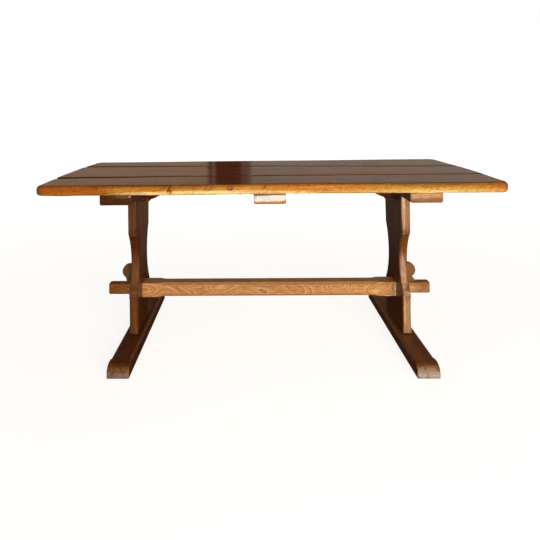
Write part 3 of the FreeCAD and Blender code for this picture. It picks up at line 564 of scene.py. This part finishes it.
def patch_stain_and_light(tree, place, tone, colour, end_colour, patches):
    """The sides' and the ends' colour with the patches over them."""
    for patch_colour, centre, reach, soft in patches:
        amount = nearness(tree, place, centre, reach, rough=tone, soft=soft)
        colour = blend(tree, amount, colour, patch_colour)
        end_colour = blend(tree, amount, end_colour, patch_colour)
    return colour, end_colour


def stain_grain(tree, colour, ring, worn, spring, tone, fibre, pore, ray):
    """The colour with the rings, tone, fibres, rays and pores in it, in that order."""
    colour = blend(tree, spring, colour, ring, "MULTIPLY")
    for value, depth in ((tone, TONE_DEPTH), (fibre, FIBRE_DEPTH)):
        shade = add_node(tree, "ShaderNodeMapRange", inputs={
            "Value": value, "From Min": 0.3, "From Max": 0.7,
            "To Min": 1 - depth, "To Max": 1 + depth})
        colour = blend(tree, 1.0, colour, shade.outputs[0], "MULTIPLY")
    colour = blend(tree, ray, colour, worn)
    in_pores = add_node(tree, "ShaderNodeMath", {"operation": "MULTIPLY"}, {
        0: pore, 1: PORE_DEPTH})
    return blend(tree, in_pores.outputs[0], colour, ring, "MULTIPLY")


# %% [markdown]
# One function lays the log in the board and then takes the steps in order.  Polished oak has an
# IOR near 1.5 and a clear coat of its own, which shines more sharply than the wood under it.

# %% Polished oak


def oak(name, grain, pith, wood, ring, end_wood, worn, ring_strength, coat, ring_mm=9,
        wander_mm=12, wander_pitch=500, wander_detail=2.0, tilt=0.02, line_strength=0.0,
        ray_strength=0.2, twist=0.8, roughness=0.45, coat_roughness=0.16, specular=0.15,
        sheen_relief=0.0006, arris_mm=4, rub_and_highlight_strength=0.45, edge_strokes=0.0, cracks=0.15,
        patches=(), knots=()):
    """Oak with its log's axis along the grain and its pith moved to a place beside the board.

    wood, ring, end_wood and worn are its colours, patches are (colour, centre, reach,
    softness), and knots are (centre, radius).
    """
    material = bpy.data.materials.new(name)
    material.use_nodes = True
    tree = material.node_tree
    shader = tree.nodes["Principled BSDF"]
    for socket, value in (("IOR", 1.5), ("Coat Weight", coat), ("Coat Roughness", coat_roughness),
                          ("Specular IOR Level", specular)):
        shader.inputs[socket].default_value = value

    coordinates = add_node(tree, "ShaderNodeTexCoord")
    place = coordinates.outputs["Object"]
    laid = add_node(tree, "ShaderNodeMapping", inputs={
        "Vector": place, "Rotation": grain, "Location": pith})
    log = add_node(tree, "ShaderNodeMapping", inputs={
        "Vector": laid.outputs[0], "Rotation": (0, tilt, tilt / 2)}).outputs[0]
    turned = add_node(tree, "ShaderNodeMapping", {"vector_type": "VECTOR"}, {
        "Vector": coordinates.outputs["Normal"], "Rotation": grain})
    either_way = add_node(tree, "ShaderNodeVectorMath", {"operation": "ABSOLUTE"}, {
        0: turned.outputs[0]})
    facing = add_node(tree, "ShaderNodeSeparateXYZ", inputs={0: either_way.outputs[0]})

    bent = bend_log(tree, log, place, wander_mm, wander_pitch, wander_detail, knots)
    spring, pale_line = growth_rings(tree, bent, ring_mm, twist, ring_strength, line_strength)
    pore, fibre = pores_and_fibres(tree, log)
    tone = long_noise(tree, log, *TONE_MM, detail=3.0).outputs["Fac"]

    colour = blend(tree, pale_line, wood, worn)
    colour, end_colour = patch_stain_and_light(tree, place, tone, colour, end_wood, patches)
    if edge_strokes:
        colour, spring = waney_edge(tree, place, facing, colour, spring, edge_strokes, knots)
    colour = stain_grain(tree, colour, ring, worn, spring, tone, fibre, pore,
                         rays(tree, bent, ray_strength))
    end_grain = add_node(tree, "ShaderNodeMapRange", {"interpolation_type": "SMOOTHSTEP"}, {
        "Value": facing.outputs["X"], "From Min": 0.45, "From Max": 0.85,
        "To Max": END_GRAIN_SHARE})
    end_colour = blend(tree, spring, end_colour, ring, "MULTIPLY")
    for dark, shown in end_marks(tree, log, cracks):
        end_colour = blend(tree, shown, end_colour, dark)
    colour = blend(tree, end_grain.outputs[0], colour, end_colour)
    # old wax in the joints, with painted shade at the open end of the front joint
    wax = add_node(tree, "ShaderNodeAttribute", {"attribute_name": "joint_wax_and_shade"})
    colour = blend(tree, wax.outputs["Fac"], colour, JOINT_WAX_AND_SHADE)
    colour, rounded = rub_and_light_arrises(tree, colour, worn, arris_mm, rub_and_highlight_strength)
    tree.links.new(colour, shader.inputs["Base Color"])
    gloss_and_relief(tree, shader, bent, pore, fibre, rounded, roughness, sheen_relief)
    print(f"{name}: {len(tree.nodes)} nodes")
    return material


# %% [markdown]
# ## The boards of the top
#
# The top is three boards.  Both long outer edges are waney, because the maker left the natural
# edge of the tree there, and they swell and fall back as the trunk did.  The joint at the back
# slants, since the boards taper with the tree.  The sizes come from the CAD boards.

# %% Sizes of the top
TOP = table_high.z
HALF_LENGTH = table_high.x
HALF_WIDTH = table_high.y
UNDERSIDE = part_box("top_plank_middle")[0].z
FRONT_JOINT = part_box("top_plank_front")[1].y
BACK_JOINT_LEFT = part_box("top_plank_middle")[1].y
BACK_JOINT_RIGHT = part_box("top_plank_back")[0].y
JOINT_GAP = 0.0006
print(f"top {HALF_LENGTH * 2:.3f} x {HALF_WIDTH * 2:.3f} x {TOP - UNDERSIDE:.3f} m, joints at",
      f"y {FRONT_JOINT:.3f} and {BACK_JOINT_LEFT:.3f} to {BACK_JOINT_RIGHT:.3f}")


def share_along(x):
    """How far along the table x is: 0 at the left end and 1 at the right."""
    return (x + HALF_LENGTH) / (HALF_LENGTH * 2)


def line_y(x, ends):
    """The y of a straight line along the table, from its y at the left and the right end."""
    return ends[0] + (ends[1] - ends[0]) * share_along(x)


# %% Swells of the waney edges
WANE_DEPTH = 0.012
FRONT_SWELLS = (-0.17, 0.26, -0.29, 0.28)  # shares of the length, negative where it falls back
BACK_SWELLS = (-0.24, 0.30, -0.22, 0.24)
LOWER_ARRIS = 0.009
SLOPE_LEAST, SLOPE_EXTRA = 0.008, 0.009
SLOPE_HIGHEST_X, SLOPE_SPREAD = 0.1, 0.35


def wane(x, swells):
    """How far in from the full width the waney edge lies, 0 to WANE_DEPTH."""
    share = share_along(x)
    swing = 0
    for swell in swells:
        if share <= abs(swell):
            swing = swell / max(swells) * math.sin(math.pi * share / abs(swell))
            break
        share -= abs(swell)
    return WANE_DEPTH / 2 * (1 - swing)


def slope_height(x):
    """How high the sloping lower edge reaches above the underside: most near the middle."""
    return SLOPE_LEAST + SLOPE_EXTRA * math.exp(-((x - SLOPE_HIGHEST_X) / SLOPE_SPREAD) ** 2)


# %% [markdown]
# Each board starts as a box that is drawn out to the board's plan.  Its two outer corners are
# rounded, its upper arris is rounded over, and its lower edge gets a flat bevel, which becomes
# the slope of the waney edge.  At the joints the upper arrises are only eased, and the lower
# ones stay square, so that the boards close up.

# %% Round a board
CORNER_RADIUS = 0.042
UPPER_ARRIS = 0.016
JOINT_ARRIS = 0.003
SAME = 1e-4  # metres; points nearer than this count as being in the same place


def round_edges(bm, edges, offset, segments):
    bmesh.ops.bevel(bm, geom=edges, offset=offset, segments=segments, affect="EDGES",
                    profile=0.5, material=-1)


def round_board(bm, joints):
    """Round the corners and arrises of a board; joints are the (left, right) y of each joint."""
    def outer_corner(place):
        return abs(place.y) > HALF_WIDTH - SAME and abs(place.x) > HALF_LENGTH - SAME

    def on_joint(place):
        return any(abs(place.y - line_y(place.x, ends)) < SAME for ends in joints)

    def along_joint(edge):
        return all(on_joint(vert.co) for vert in edge.verts) \
            and abs(edge.verts[0].co.x - edge.verts[1].co.x) > HALF_LENGTH

    def edges_at(height):
        return [edge for edge in bm.edges
                if all(abs(vert.co.z - height) < SAME for vert in edge.verts)]

    def next_to_a_side(edge):
        return any(abs(face.normal.z) < 0.1 for face in edge.link_faces)

    corners = [edge for edge in bm.edges if all(outer_corner(vert.co) for vert in edge.verts)
               and abs(edge.verts[0].co.z - edge.verts[1].co.z) > SAME]
    if corners:
        round_edges(bm, corners, CORNER_RADIUS, 8)
    round_edges(bm, [edge for edge in edges_at(TOP) if along_joint(edge)], JOINT_ARRIS, 3)
    round_edges(bm, [edge for edge in edges_at(TOP) if next_to_a_side(edge)], UPPER_ARRIS, 5)
    lower = [edge for edge in edges_at(UNDERSIDE) if next_to_a_side(edge)
             and not along_joint(edge)]
    round_edges(bm, lower, LOWER_ARRIS, 2)


# %% [markdown]
# The box is then cut across every few centimetres, and along near its long edges, which gives it
# points that can be moved.  Those are pushed about by the swells and by noise: the edge wanders
# as a tree does, and each board falls away a little towards its joints, as old boards do.  Wax
# has settled in the joints, and the points there carry it as an attribute.  At the left end of
# the front joint, which has opened a little, the same attribute also paints the shade in the gap,
# so it is darkest there.

# %% Cut and shape a board
CUTS = 76
CUTS_ALONG = (0.02, 0.05)  # metres in from each long edge
FOLLOW_REACH = 0.05  # how far in a board follows its waney edge
RIPPLE = 0.0015
SLOPE_TOP = 0.45  # the share of the thickness at which the slope under the edge ends
SLOPE_RUN, SLOPE_RUN_VARIES = 0.004, 0.006  # how far in the slope runs at the bottom
SLOPE_FACE = 0.012  # points within this of the edge rise with the slope
LONG_WAVE, SHORT_WAVE = 0.003, 0.002  # how far its upper border waves up and down
DIP_REACH = 0.055  # how far in a board starts to fall towards a joint
DIP, DIP_VARIES = 0.0004, 0.0006
STEP = 0.0012  # how much lower a board's back edge lies than the board behind it
LEFT_STEP = 0.0035  # and how much lower again at the left end, fading out over LEFT_SHARE
LEFT_SHARE = 1 / 3.2
JOINT_FACE = 0.0029  # just under JOINT_ARRIS, so that only the points in the joint get wax


def cut(bm, through, across):
    bmesh.ops.bisect_plane(bm, geom=bm.verts[:] + bm.edges[:] + bm.faces[:], dist=1e-5,
                           plane_co=through, plane_no=across)


def cut_board(bm, front, back):
    for count in range(1, CUTS):
        cut(bm, (HALF_LENGTH * (2 * count / CUTS - 1), 0, 0), (1, 0, 0))
    for distance in CUTS_ALONG:
        for side, ends in ((1, front), (-1, back)):
            slant = math.atan2(ends[1] - ends[0], HALF_LENGTH * 2)
            cut(bm, (0, (ends[0] + ends[1]) / 2 + side * distance, 0),
                (-math.sin(slant), math.cos(slant), 0))


def shape_board(bm, front, back, front_swells, back_swells, seed):
    """Let the waney edges wander and the boards stand a little uneven at their joints."""
    joint_wax_and_shade = bm.verts.layers.float.new("joint_wax_and_shade")

    def sway(bumps, *track):
        """A smooth random number, -1 to 1, with so many bumps to the metre along the board."""
        return noise.noise((x * bumps + seed, *track))

    for vert in bm.verts:
        x, y, z = vert.co
        height = (z - UNDERSIDE) / (TOP - UNDERSIDE)
        share = share_along(x)
        for side, swells, ends in ((-1, front_swells, front), (1, back_swells, back)):
            edge_y = line_y(x, ends)
            inwards = (edge_y - y) * side
            if swells:
                follow = max(0.0, 1 - inwards / FOLLOW_REACH)
                ripple = 0.5 + 0.5 * sway(9, 0, 0)
                under = max(0.0, 1 - height / SLOPE_TOP)
                bite = wane(x, swells) + ripple * RIPPLE
                bite += under * (SLOPE_RUN + SLOPE_RUN_VARIES * sway(5, 3, 0))
                vert.co.y -= side * max(bite, 0) * follow
                if 0.05 < height < 0.5 and inwards < SLOPE_FACE:
                    vert.co.z += slope_height(x) - LOWER_ARRIS + LONG_WAVE * sway(7, 7, 0) \
                        + SHORT_WAVE * sway(23, 9, 0)
            elif height > 0.5 and inwards < DIP_REACH:
                dip = (1 - max(inwards, 0) / DIP_REACH) ** 2
                drop = DIP + DIP_VARIES * (0.5 + 0.5 * sway(2, side, 5))
                if side > 0:
                    drop += STEP + LEFT_STEP * max(0.0, 1 - share / LEFT_SHARE)
                vert.co.z -= drop * dip
                if inwards < JOINT_FACE:
                    # at the open left end of the front joint the darkening is raised as painted
                    # shade in the gap
                    shaded_open_end = max(0.0, 1 - share * 2) if edge_y < 0 else 0.0
                    vert[joint_wax_and_shade] = 0.6 + 0.4 * shaded_open_end


# %% [markdown]
# The finished bmesh becomes a smooth-shaded object with its place in its mesh.  It takes the place
# of the CAD board, which stays behind it for the collisions.  It takes the place of the CAD board,
# which is hidden and stays behind it.

# %% A board


def add_board(bm, node_name, material):
    """Make a bmesh the board that stands for a CAD node and rides with the table."""
    bmesh.ops.remove_doubles(bm, verts=bm.verts, dist=1e-5)
    bmesh.ops.recalc_face_normals(bm, faces=bm.faces)
    for face in bm.faces:
        face.smooth = True
    mesh = bpy.data.meshes.new(node_name + "_board")
    bm.to_mesh(mesh)
    bm.free()
    mesh.materials.append(material)
    board = bpy.data.objects.new(node_name + "_board", mesh)
    bpy.context.collection.objects.link(board)
    weighted = board.modifiers.new("flat faces stay flat", "WEIGHTED_NORMAL")
    weighted.keep_sharp = True
    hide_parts(node_name)
    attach(board, "table")
    print(f"{board.name}: " + " x ".join(f"{side * 1000:.0f}" for side in board.dimensions),
          f"mm, {len(mesh.polygons)} faces")


def make_board(node_name, front, back, material, seed, front_swells=None, back_swells=None):
    """A board between front and back, each its y at the left and the right end."""
    bm = bmesh.new()
    bmesh.ops.create_cube(bm, size=1)
    for vert in bm.verts:
        end = 0 if vert.co.x < 0 else 1
        vert.co = ((end * 2 - 1) * HALF_LENGTH,
                   (front if vert.co.y < 0 else back)[end],
                   UNDERSIDE if vert.co.z < 0 else TOP)
    round_board(bm, [ends for ends, swells in ((front, front_swells), (back, back_swells))
                     if not swells])
    cut_board(bm, front, back)
    shape_board(bm, front, back, front_swells, back_swells, seed)
    add_board(bm, node_name, material)


# %% [markdown]
# The outer boards have the palest wood along their edges: the sapwood under the bark takes less
# stain.  Low on the edge, where the tree's own surface begins, the palest patches are painted
# light from below, and the palest of all is a painted highlight.  Along the front the colour comes
# and goes, partly as the sapwood does and partly as painted light, so its patches lie over each
# other from end to end, each a colour, a centre, a reach and the softness of its edge.  A few
# small knots sit in both edges.

# %% Make the boards
top_finish = dict(grain=ALONG_X, ring="#80603c", end_wood="#8a4d1c", worn="#b98446",
                  ring_strength=0.6, coat=1.0, coat_roughness=0.1, specular=0.1,
                  sheen_relief=0.0016, arris_mm=3, rub_and_highlight_strength=0.15, edge_strokes=0.42)
front_edge_wood_and_light = [
    # the sapwood along the edge, which comes and goes partly as painted light
    ("#965a10", (-0.2, -0.394, 0.74), (3.0, 0.032, 0.2), 0.7),
    ("#b87a2a", (-0.48, -0.394, 0.74), (0.28, 0.032, 0.2), 0.7),
    ("#cc8e38", (-0.59, -0.394, 0.737), (0.13, 0.032, 0.026), 0.9),
    ("#a8752a", (0.65, -0.394, 0.74), (0.75, 0.030, 0.2), 0.7),
    ("#c69238", (0.04, -0.394, 0.735), (0.62, 0.032, 0.2), 0.7),
    ("#bc8c30", (0.19, -0.394, 0.74), (0.17, 0.032, 0.2), 0.8),
    # low on the edge: painted light from below, with a painted highlight in the palest
    ("#b87426", (-0.85, -0.394, 0.719), (0.40, 0.100, 0.031), 0.9),
    ("#d8b26a", (0.55, -0.394, 0.719), (0.85, 0.100, 0.031), 0.9),
    ("#f2d494", (0.63, -0.394, 0.712), (0.24, 0.100, 0.022), 0.6),
    ("#f8dc9c", (-0.16, -0.394, 0.700), (0.63, 0.060, 0.046), 0.30),
]
back_edge_wood_and_light = [
    ("#a8602a", (0, 0.394, 0.74), (3.0, 0.030, 0.2), 0.7),
    ("#c07c44", (0.25, 0.394, 0.735), (0.60, 0.030, 0.2), 0.7),
    # low on the edge: painted light from below, as on the front
    ("#d8a878", (-0.30, 0.394, 0.712), (0.85, 0.080, 0.026), 0.8),
]
front_board = oak("polished oak, front board", pith=(0.3, 0.28, -0.62), wood="#b45c20",
                  patches=front_edge_wood_and_light,
                  knots=[((-0.400, -0.38, 0.743), 0.026), ((-0.235, -0.38, 0.746), 0.012),
                         ((-0.155, -0.38, 0.748), 0.016), ((-0.02, -0.38, 0.750), 0.014)],
                  **top_finish)
middle_board = oak("polished oak, middle board", pith=(1.7, -0.05, -0.66), wood="#b0541c",
                   **top_finish)
back_board = oak("polished oak, back board", pith=(3.1, -0.3, -0.6), wood="#ae581f",
                 patches=back_edge_wood_and_light,
                 knots=[((0.42, 0.38, 0.744), 0.020), ((-0.15, 0.38, 0.748), 0.014)],
                 **top_finish)

make_board("top_plank_front", (-HALF_WIDTH, -HALF_WIDTH), (FRONT_JOINT, FRONT_JOINT),
           front_board, front_swells=FRONT_SWELLS, seed=1.3)
make_board("top_plank_middle", (FRONT_JOINT + JOINT_GAP, FRONT_JOINT + JOINT_GAP),
           (BACK_JOINT_LEFT, BACK_JOINT_RIGHT - JOINT_GAP * 2), middle_board, seed=4.1)
make_board("top_plank_back", (BACK_JOINT_LEFT + JOINT_GAP, BACK_JOINT_RIGHT),
           (HALF_WIDTH, HALF_WIDTH), back_board, back_swells=BACK_SWELLS, seed=7.7)

# %% [markdown]
# ## The frame
#
# The trestles, bearers and brackets are stained dark and left less glossy than the top.  The
# pieces that show most have patches too.  The uprights' front edges are rubbed pale at their
# arrises, partly as painted highlights, and their patches are painted light and shade: painted
# shade in the hollow of the waist and low on their inner faces, a painted sheen on the belly
# under the waist and down the right one's front edge, and painted highlights on the corner of
# each belly and on the right one's inner chamfer.  A dark line where an upright stands on its
# foot is a painted contact shadow.

# %% Stain, painted light and shade on the uprights
FOOT_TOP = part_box("foot_left")[1].z
print(f"top of the feet {FOOT_TOP:.3f} m")
frame_finish = dict(ring="#7a5a40", worn="#a8744a", ring_mm=8, coat=0.5, coat_roughness=0.2)
upright_painted_light = {
    "left": [
        ("#622d07", (-0.588, 0, 0.10), (0.06, 0.125, 0.28), 0.7),  # painted shade low on the inner face
        ("#582c06", (-0.606, -0.100, 0.445), (0.2, 0.055, 0.085), 0.7),  # painted shade in the hollow of the waist
        ("#84583c", (-0.606, -0.118, 0.32), (0.2, 0.045, 0.075), 0.7),  # painted sheen on the belly under it
        ("#94745a", (-0.600, -0.135, 0.236), (0.028, 0.03, 0.011), 0.9),  # painted highlight on the corner of the belly
        ("#1e0e06", (-0.606, -0.128, FOOT_TOP), (0.2, 0.2, 0.006), 0.4),  # painted contact shadow where it stands on the foot
    ],
    "right": [
        ("#5c2c0c", (0.588, 0, 0.10), (0.06, 0.125, 0.28), 0.7),  # painted shade low on the inner face
        ("#98705a", (0.615, -0.128, 0.62), (0.06, 0.035, 0.16), 0.7),  # painted sheen, paler on the edge above the waist
        ("#6c4014", (0.606, -0.100, 0.445), (0.2, 0.055, 0.085), 0.7),  # painted shade in the hollow of the waist
        ("#a48268", (0.602, -0.108, 0.315), (0.032, 0.06, 0.11), 0.4),  # painted sheen on the belly under it
        ("#967454", (0.615, -0.128, 0.12), (0.06, 0.035, 0.15), 0.4),  # painted sheen, paler on the edge below the belly
        ("#a88c70", (0.615, -0.128, 0.230), (0.05, 0.035, 0.018), 0.7),  # painted highlight on the corner of the belly
        ("#d8b08c", (0.594, -0.131, 0.60), (0.011, 0.012, 0.20), 0.5),  # painted highlight on the upper inner chamfer
        ("#c89c74", (0.594, -0.131, 0.15), (0.011, 0.012, 0.12), 0.5),  # painted highlight on the lower inner chamfer
        ("#6a3310", (0.588, 0, 0.20), (0.0065, 0.2, 0.30), 0.3),  # painted shade on the inner face, right up to the highlights
        ("#2a160c", (0.606, -0.128, FOOT_TOP), (0.2, 0.2, 0.006), 0.4),  # painted contact shadow where it stands on the foot
    ],
}

# %% [markdown]
# The ends of the feet and bearers take the stain differently from their sides.  The feet's ends
# are paler and greyer near the floor, which is painted light from below, and have cracked as
# they dried, the right one more than the left.  A dark line on each foot, just in front of its
# upright, is a painted contact shadow.  The bearers' ends carry painted light too: a pale band
# of painted glare on the middle one, under a thin painted shadow from the top's edge, and a
# painted sheen and glint on the left one.  The stretcher was left the pale colour of waxed oak.
# Only its tenons are dark, and a thin pale line shows where its right shoulder has worn against
# the upright.

# %% Finish the frame
finishes = {"stretcher": oak(
    "light polished oak", grain=ALONG_X, pith=(1.7, 0.085, -0.205), wood="#c18d5b",
    ring="#a87048", end_wood="#8a5a33", worn="#e6bb88", ring_mm=7.5, wander_mm=16,
    wander_pitch=130, wander_detail=0.0, tilt=0.006, twist=0.5, ring_strength=0.4,
    line_strength=0.5, ray_strength=0.35, coat=0.4, rub_and_highlight_strength=0.4,
    patches=[("#7e4216", (-0.72, 0, 0.21), (0.14, 0.1, 0.1), 0.7),
             ("#986840", (0.74, 0, 0.21), (0.14, 0.1, 0.1), 0.7),
             ("#ecd4c2", (0.585, -0.034, 0.212), (0.005, 0.02, 0.05), 0.5)])}
# On each foot the palest colour is painted light from below, low on the nose, and the darkest is a
# painted contact shadow just in front of the upright.
for side, x, shift, wood, end_wood, painted_nose_light, contact_shadow, cracks in (
        ("left", -0.606, 0.0, "#5e3214", "#7a5434", "#8e7e76", "#431e07", 0.65),
        ("right", 0.606, 7.3, "#70431f", "#8f7866", "#a39c9c", "#5f3112", 1.0)):
    finishes[f"upright_{side}"] = oak(
        f"dark oak, {side} upright", grain=ALONG_Z, pith=(shift, 0.1, 0.75), wood="#6c4020",
        end_wood="#8a5a35", arris_mm=9, rub_and_highlight_strength=0.35, ray_strength=0.1,
        patches=upright_painted_light[side], ring_strength=0.25, **frame_finish)
    finishes[f"foot_{side}"] = oak(
        f"dark oak, {side} foot", grain=ALONG_Y, pith=(shift + 2, 0.55, -0.1), wood=wood,
        end_wood=end_wood, arris_mm=8,
        patches=[(painted_nose_light, (x, -0.38, 0.013), (0.2, 0.025, 0.022), 1.1),
                 (contact_shadow, (x, -0.132, FOOT_TOP), (0.026, 0.012, 0.01), 0.4)],
        cracks=cracks, ring_strength=0.25, **frame_finish)
    finishes[f"tusk_key_{side}"] = oak(
        f"dark oak, {side} tusk key", grain=ALONG_Z, pith=(shift + 6, 0.06, 0.7),
        wood="#7d5838", end_wood="#7a5536", ring_strength=0.5, **frame_finish)
    finishes[f"bracket_{side}"] = oak(
        f"dark oak, {side} bracket", grain=ALONG_X, pith=(shift + 8, 0.06, -0.7),
        wood="#47240f", end_wood="#5a341a", ring_strength=0.5, **frame_finish)
for side, shift, wood, end_wood, ring_strength, patches in (
        ("left", 4, "#4e2a14", "#46260a", 0.4, [
            # a painted sheen across the end, and a painted glint at its right corner
            ("#6a4630", (-0.575, -0.376, 0.717), (0.07, 0.012, 0.012), 0.6),
            ("#c8b09c", (-0.550, -0.376, 0.716), (0.006, 0.008, 0.005), 0.8)]),
        ("centre", 12, "#a87c50", "#aa783c", 0.15, [
            # a pale band of painted glare on the end, under a thin painted shadow from the top's
            # edge
            ("#cfd0d6", (0, -0.376, 0.711), (0.3, 0.008, 0.018), 0.15),
            ("#8c6444", (0, -0.376, 0.724), (0.3, 0.008, 0.009), 0.3)]),
        ("right", 18, "#6a4024", "#bc9878", 0.4, [
            ("#8a5c38", (0.606, -0.376, 0.678), (0.3, 0.1, 0.026), 0.4)])):
    finishes[f"bearer_{side}"] = oak(
        f"oak, {side} bearer", grain=ALONG_Y, pith=(shift, 0.5, -0.78), wood=wood,
        end_wood=end_wood, patches=patches, ring_strength=ring_strength, **frame_finish)
finishes["top_tongue_front"] = finishes["top_tongue_back"] = finishes["bracket_left"]

# %% [markdown]
# ## Screws and glides
#
# The screws are zinc-plated steel: a bright, slightly blotchy grey metal, because the zinc
# crystals and the chromate on them differ from place to place.  The glides are pressed wool felt,
# brown, matt and a little hairy.

# %% Steel and felt
CRYSTAL_MM = 3  # zinc crystals are under 1 mm, and drawn at 3 mm so that they show
steel = bpy.data.materials.new("zinc-plated steel")
steel.use_nodes = True
tree = steel.node_tree
shader = tree.nodes["Principled BSDF"]
shader.inputs["Metallic"].default_value = 1.0
place = add_node(tree, "ShaderNodeTexCoord")
crystals = add_node(tree, "ShaderNodeTexVoronoi", inputs={
    "Vector": place.outputs["Object"], "Scale": 1000 / CRYSTAL_MM})
plating = blend(tree, crystals.outputs["Color"], "#a9acae", "#c9cbcc")
tree.links.new(plating, shader.inputs["Base Color"])
haze = add_node(tree, "ShaderNodeMapRange", inputs={
    "Value": crystals.outputs["Distance"], "To Min": 0.3, "To Max": 0.45})
tree.links.new(haze.outputs[0], shader.inputs["Roughness"])

TUFT_MM = 1.5  # wool fibres are far finer, and drawn as tufts of 1.5 mm
felt = bpy.data.materials.new("brown wool felt")
felt.use_nodes = True
tree = felt.node_tree
shader = tree.nodes["Principled BSDF"]
shader.inputs["Roughness"].default_value = 0.95
place = add_node(tree, "ShaderNodeTexCoord")
tufts = add_node(tree, "ShaderNodeTexNoise", inputs={
    "Vector": place.outputs["Object"], "Scale": 1000 / TUFT_MM, "Detail": 3.0})
wool = blend(tree, tufts.outputs["Fac"], "#2a1f18", "#4c3b2e")
tree.links.new(wool, shader.inputs["Base Color"])
hair = add_node(tree, "ShaderNodeBump", inputs={
    "Strength": 0.6, "Distance": 0.0005, "Height": tufts.outputs["Fac"]})
tree.links.new(hair.outputs[0], shader.inputs["Normal"])

# %% [markdown]
# ## Dress the CAD pieces
#
# Every CAD piece that keeps its shape now gets its finish in place of the plain one it came with.

# %% Give each piece its finish
for node_name, node_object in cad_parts.items():
    if node_name.startswith("top_plank"):
        continue
    if "screw" in node_name:
        finish = steel
    elif "glide" in node_name:
        finish = felt
    else:
        finish = finishes[node_name]
    node_object.data.materials.clear()
    node_object.data.materials.append(finish)
    print(f"{node_name}: {finish.name}")

# %% [markdown]
# ## The size
#
# Both boxes, of the CAD model and of the finished table, are printed side by side. The
# finished table has to keep the size of the CAD model.

# %% Print both sizes
scene_low, scene_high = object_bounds()
for name, size in (("CAD model", table_high - table_low), ("table", scene_high - scene_low)):
    print(f"{name}: " + " x ".join(f"{side * 1000:.0f}" for side in size), "mm")
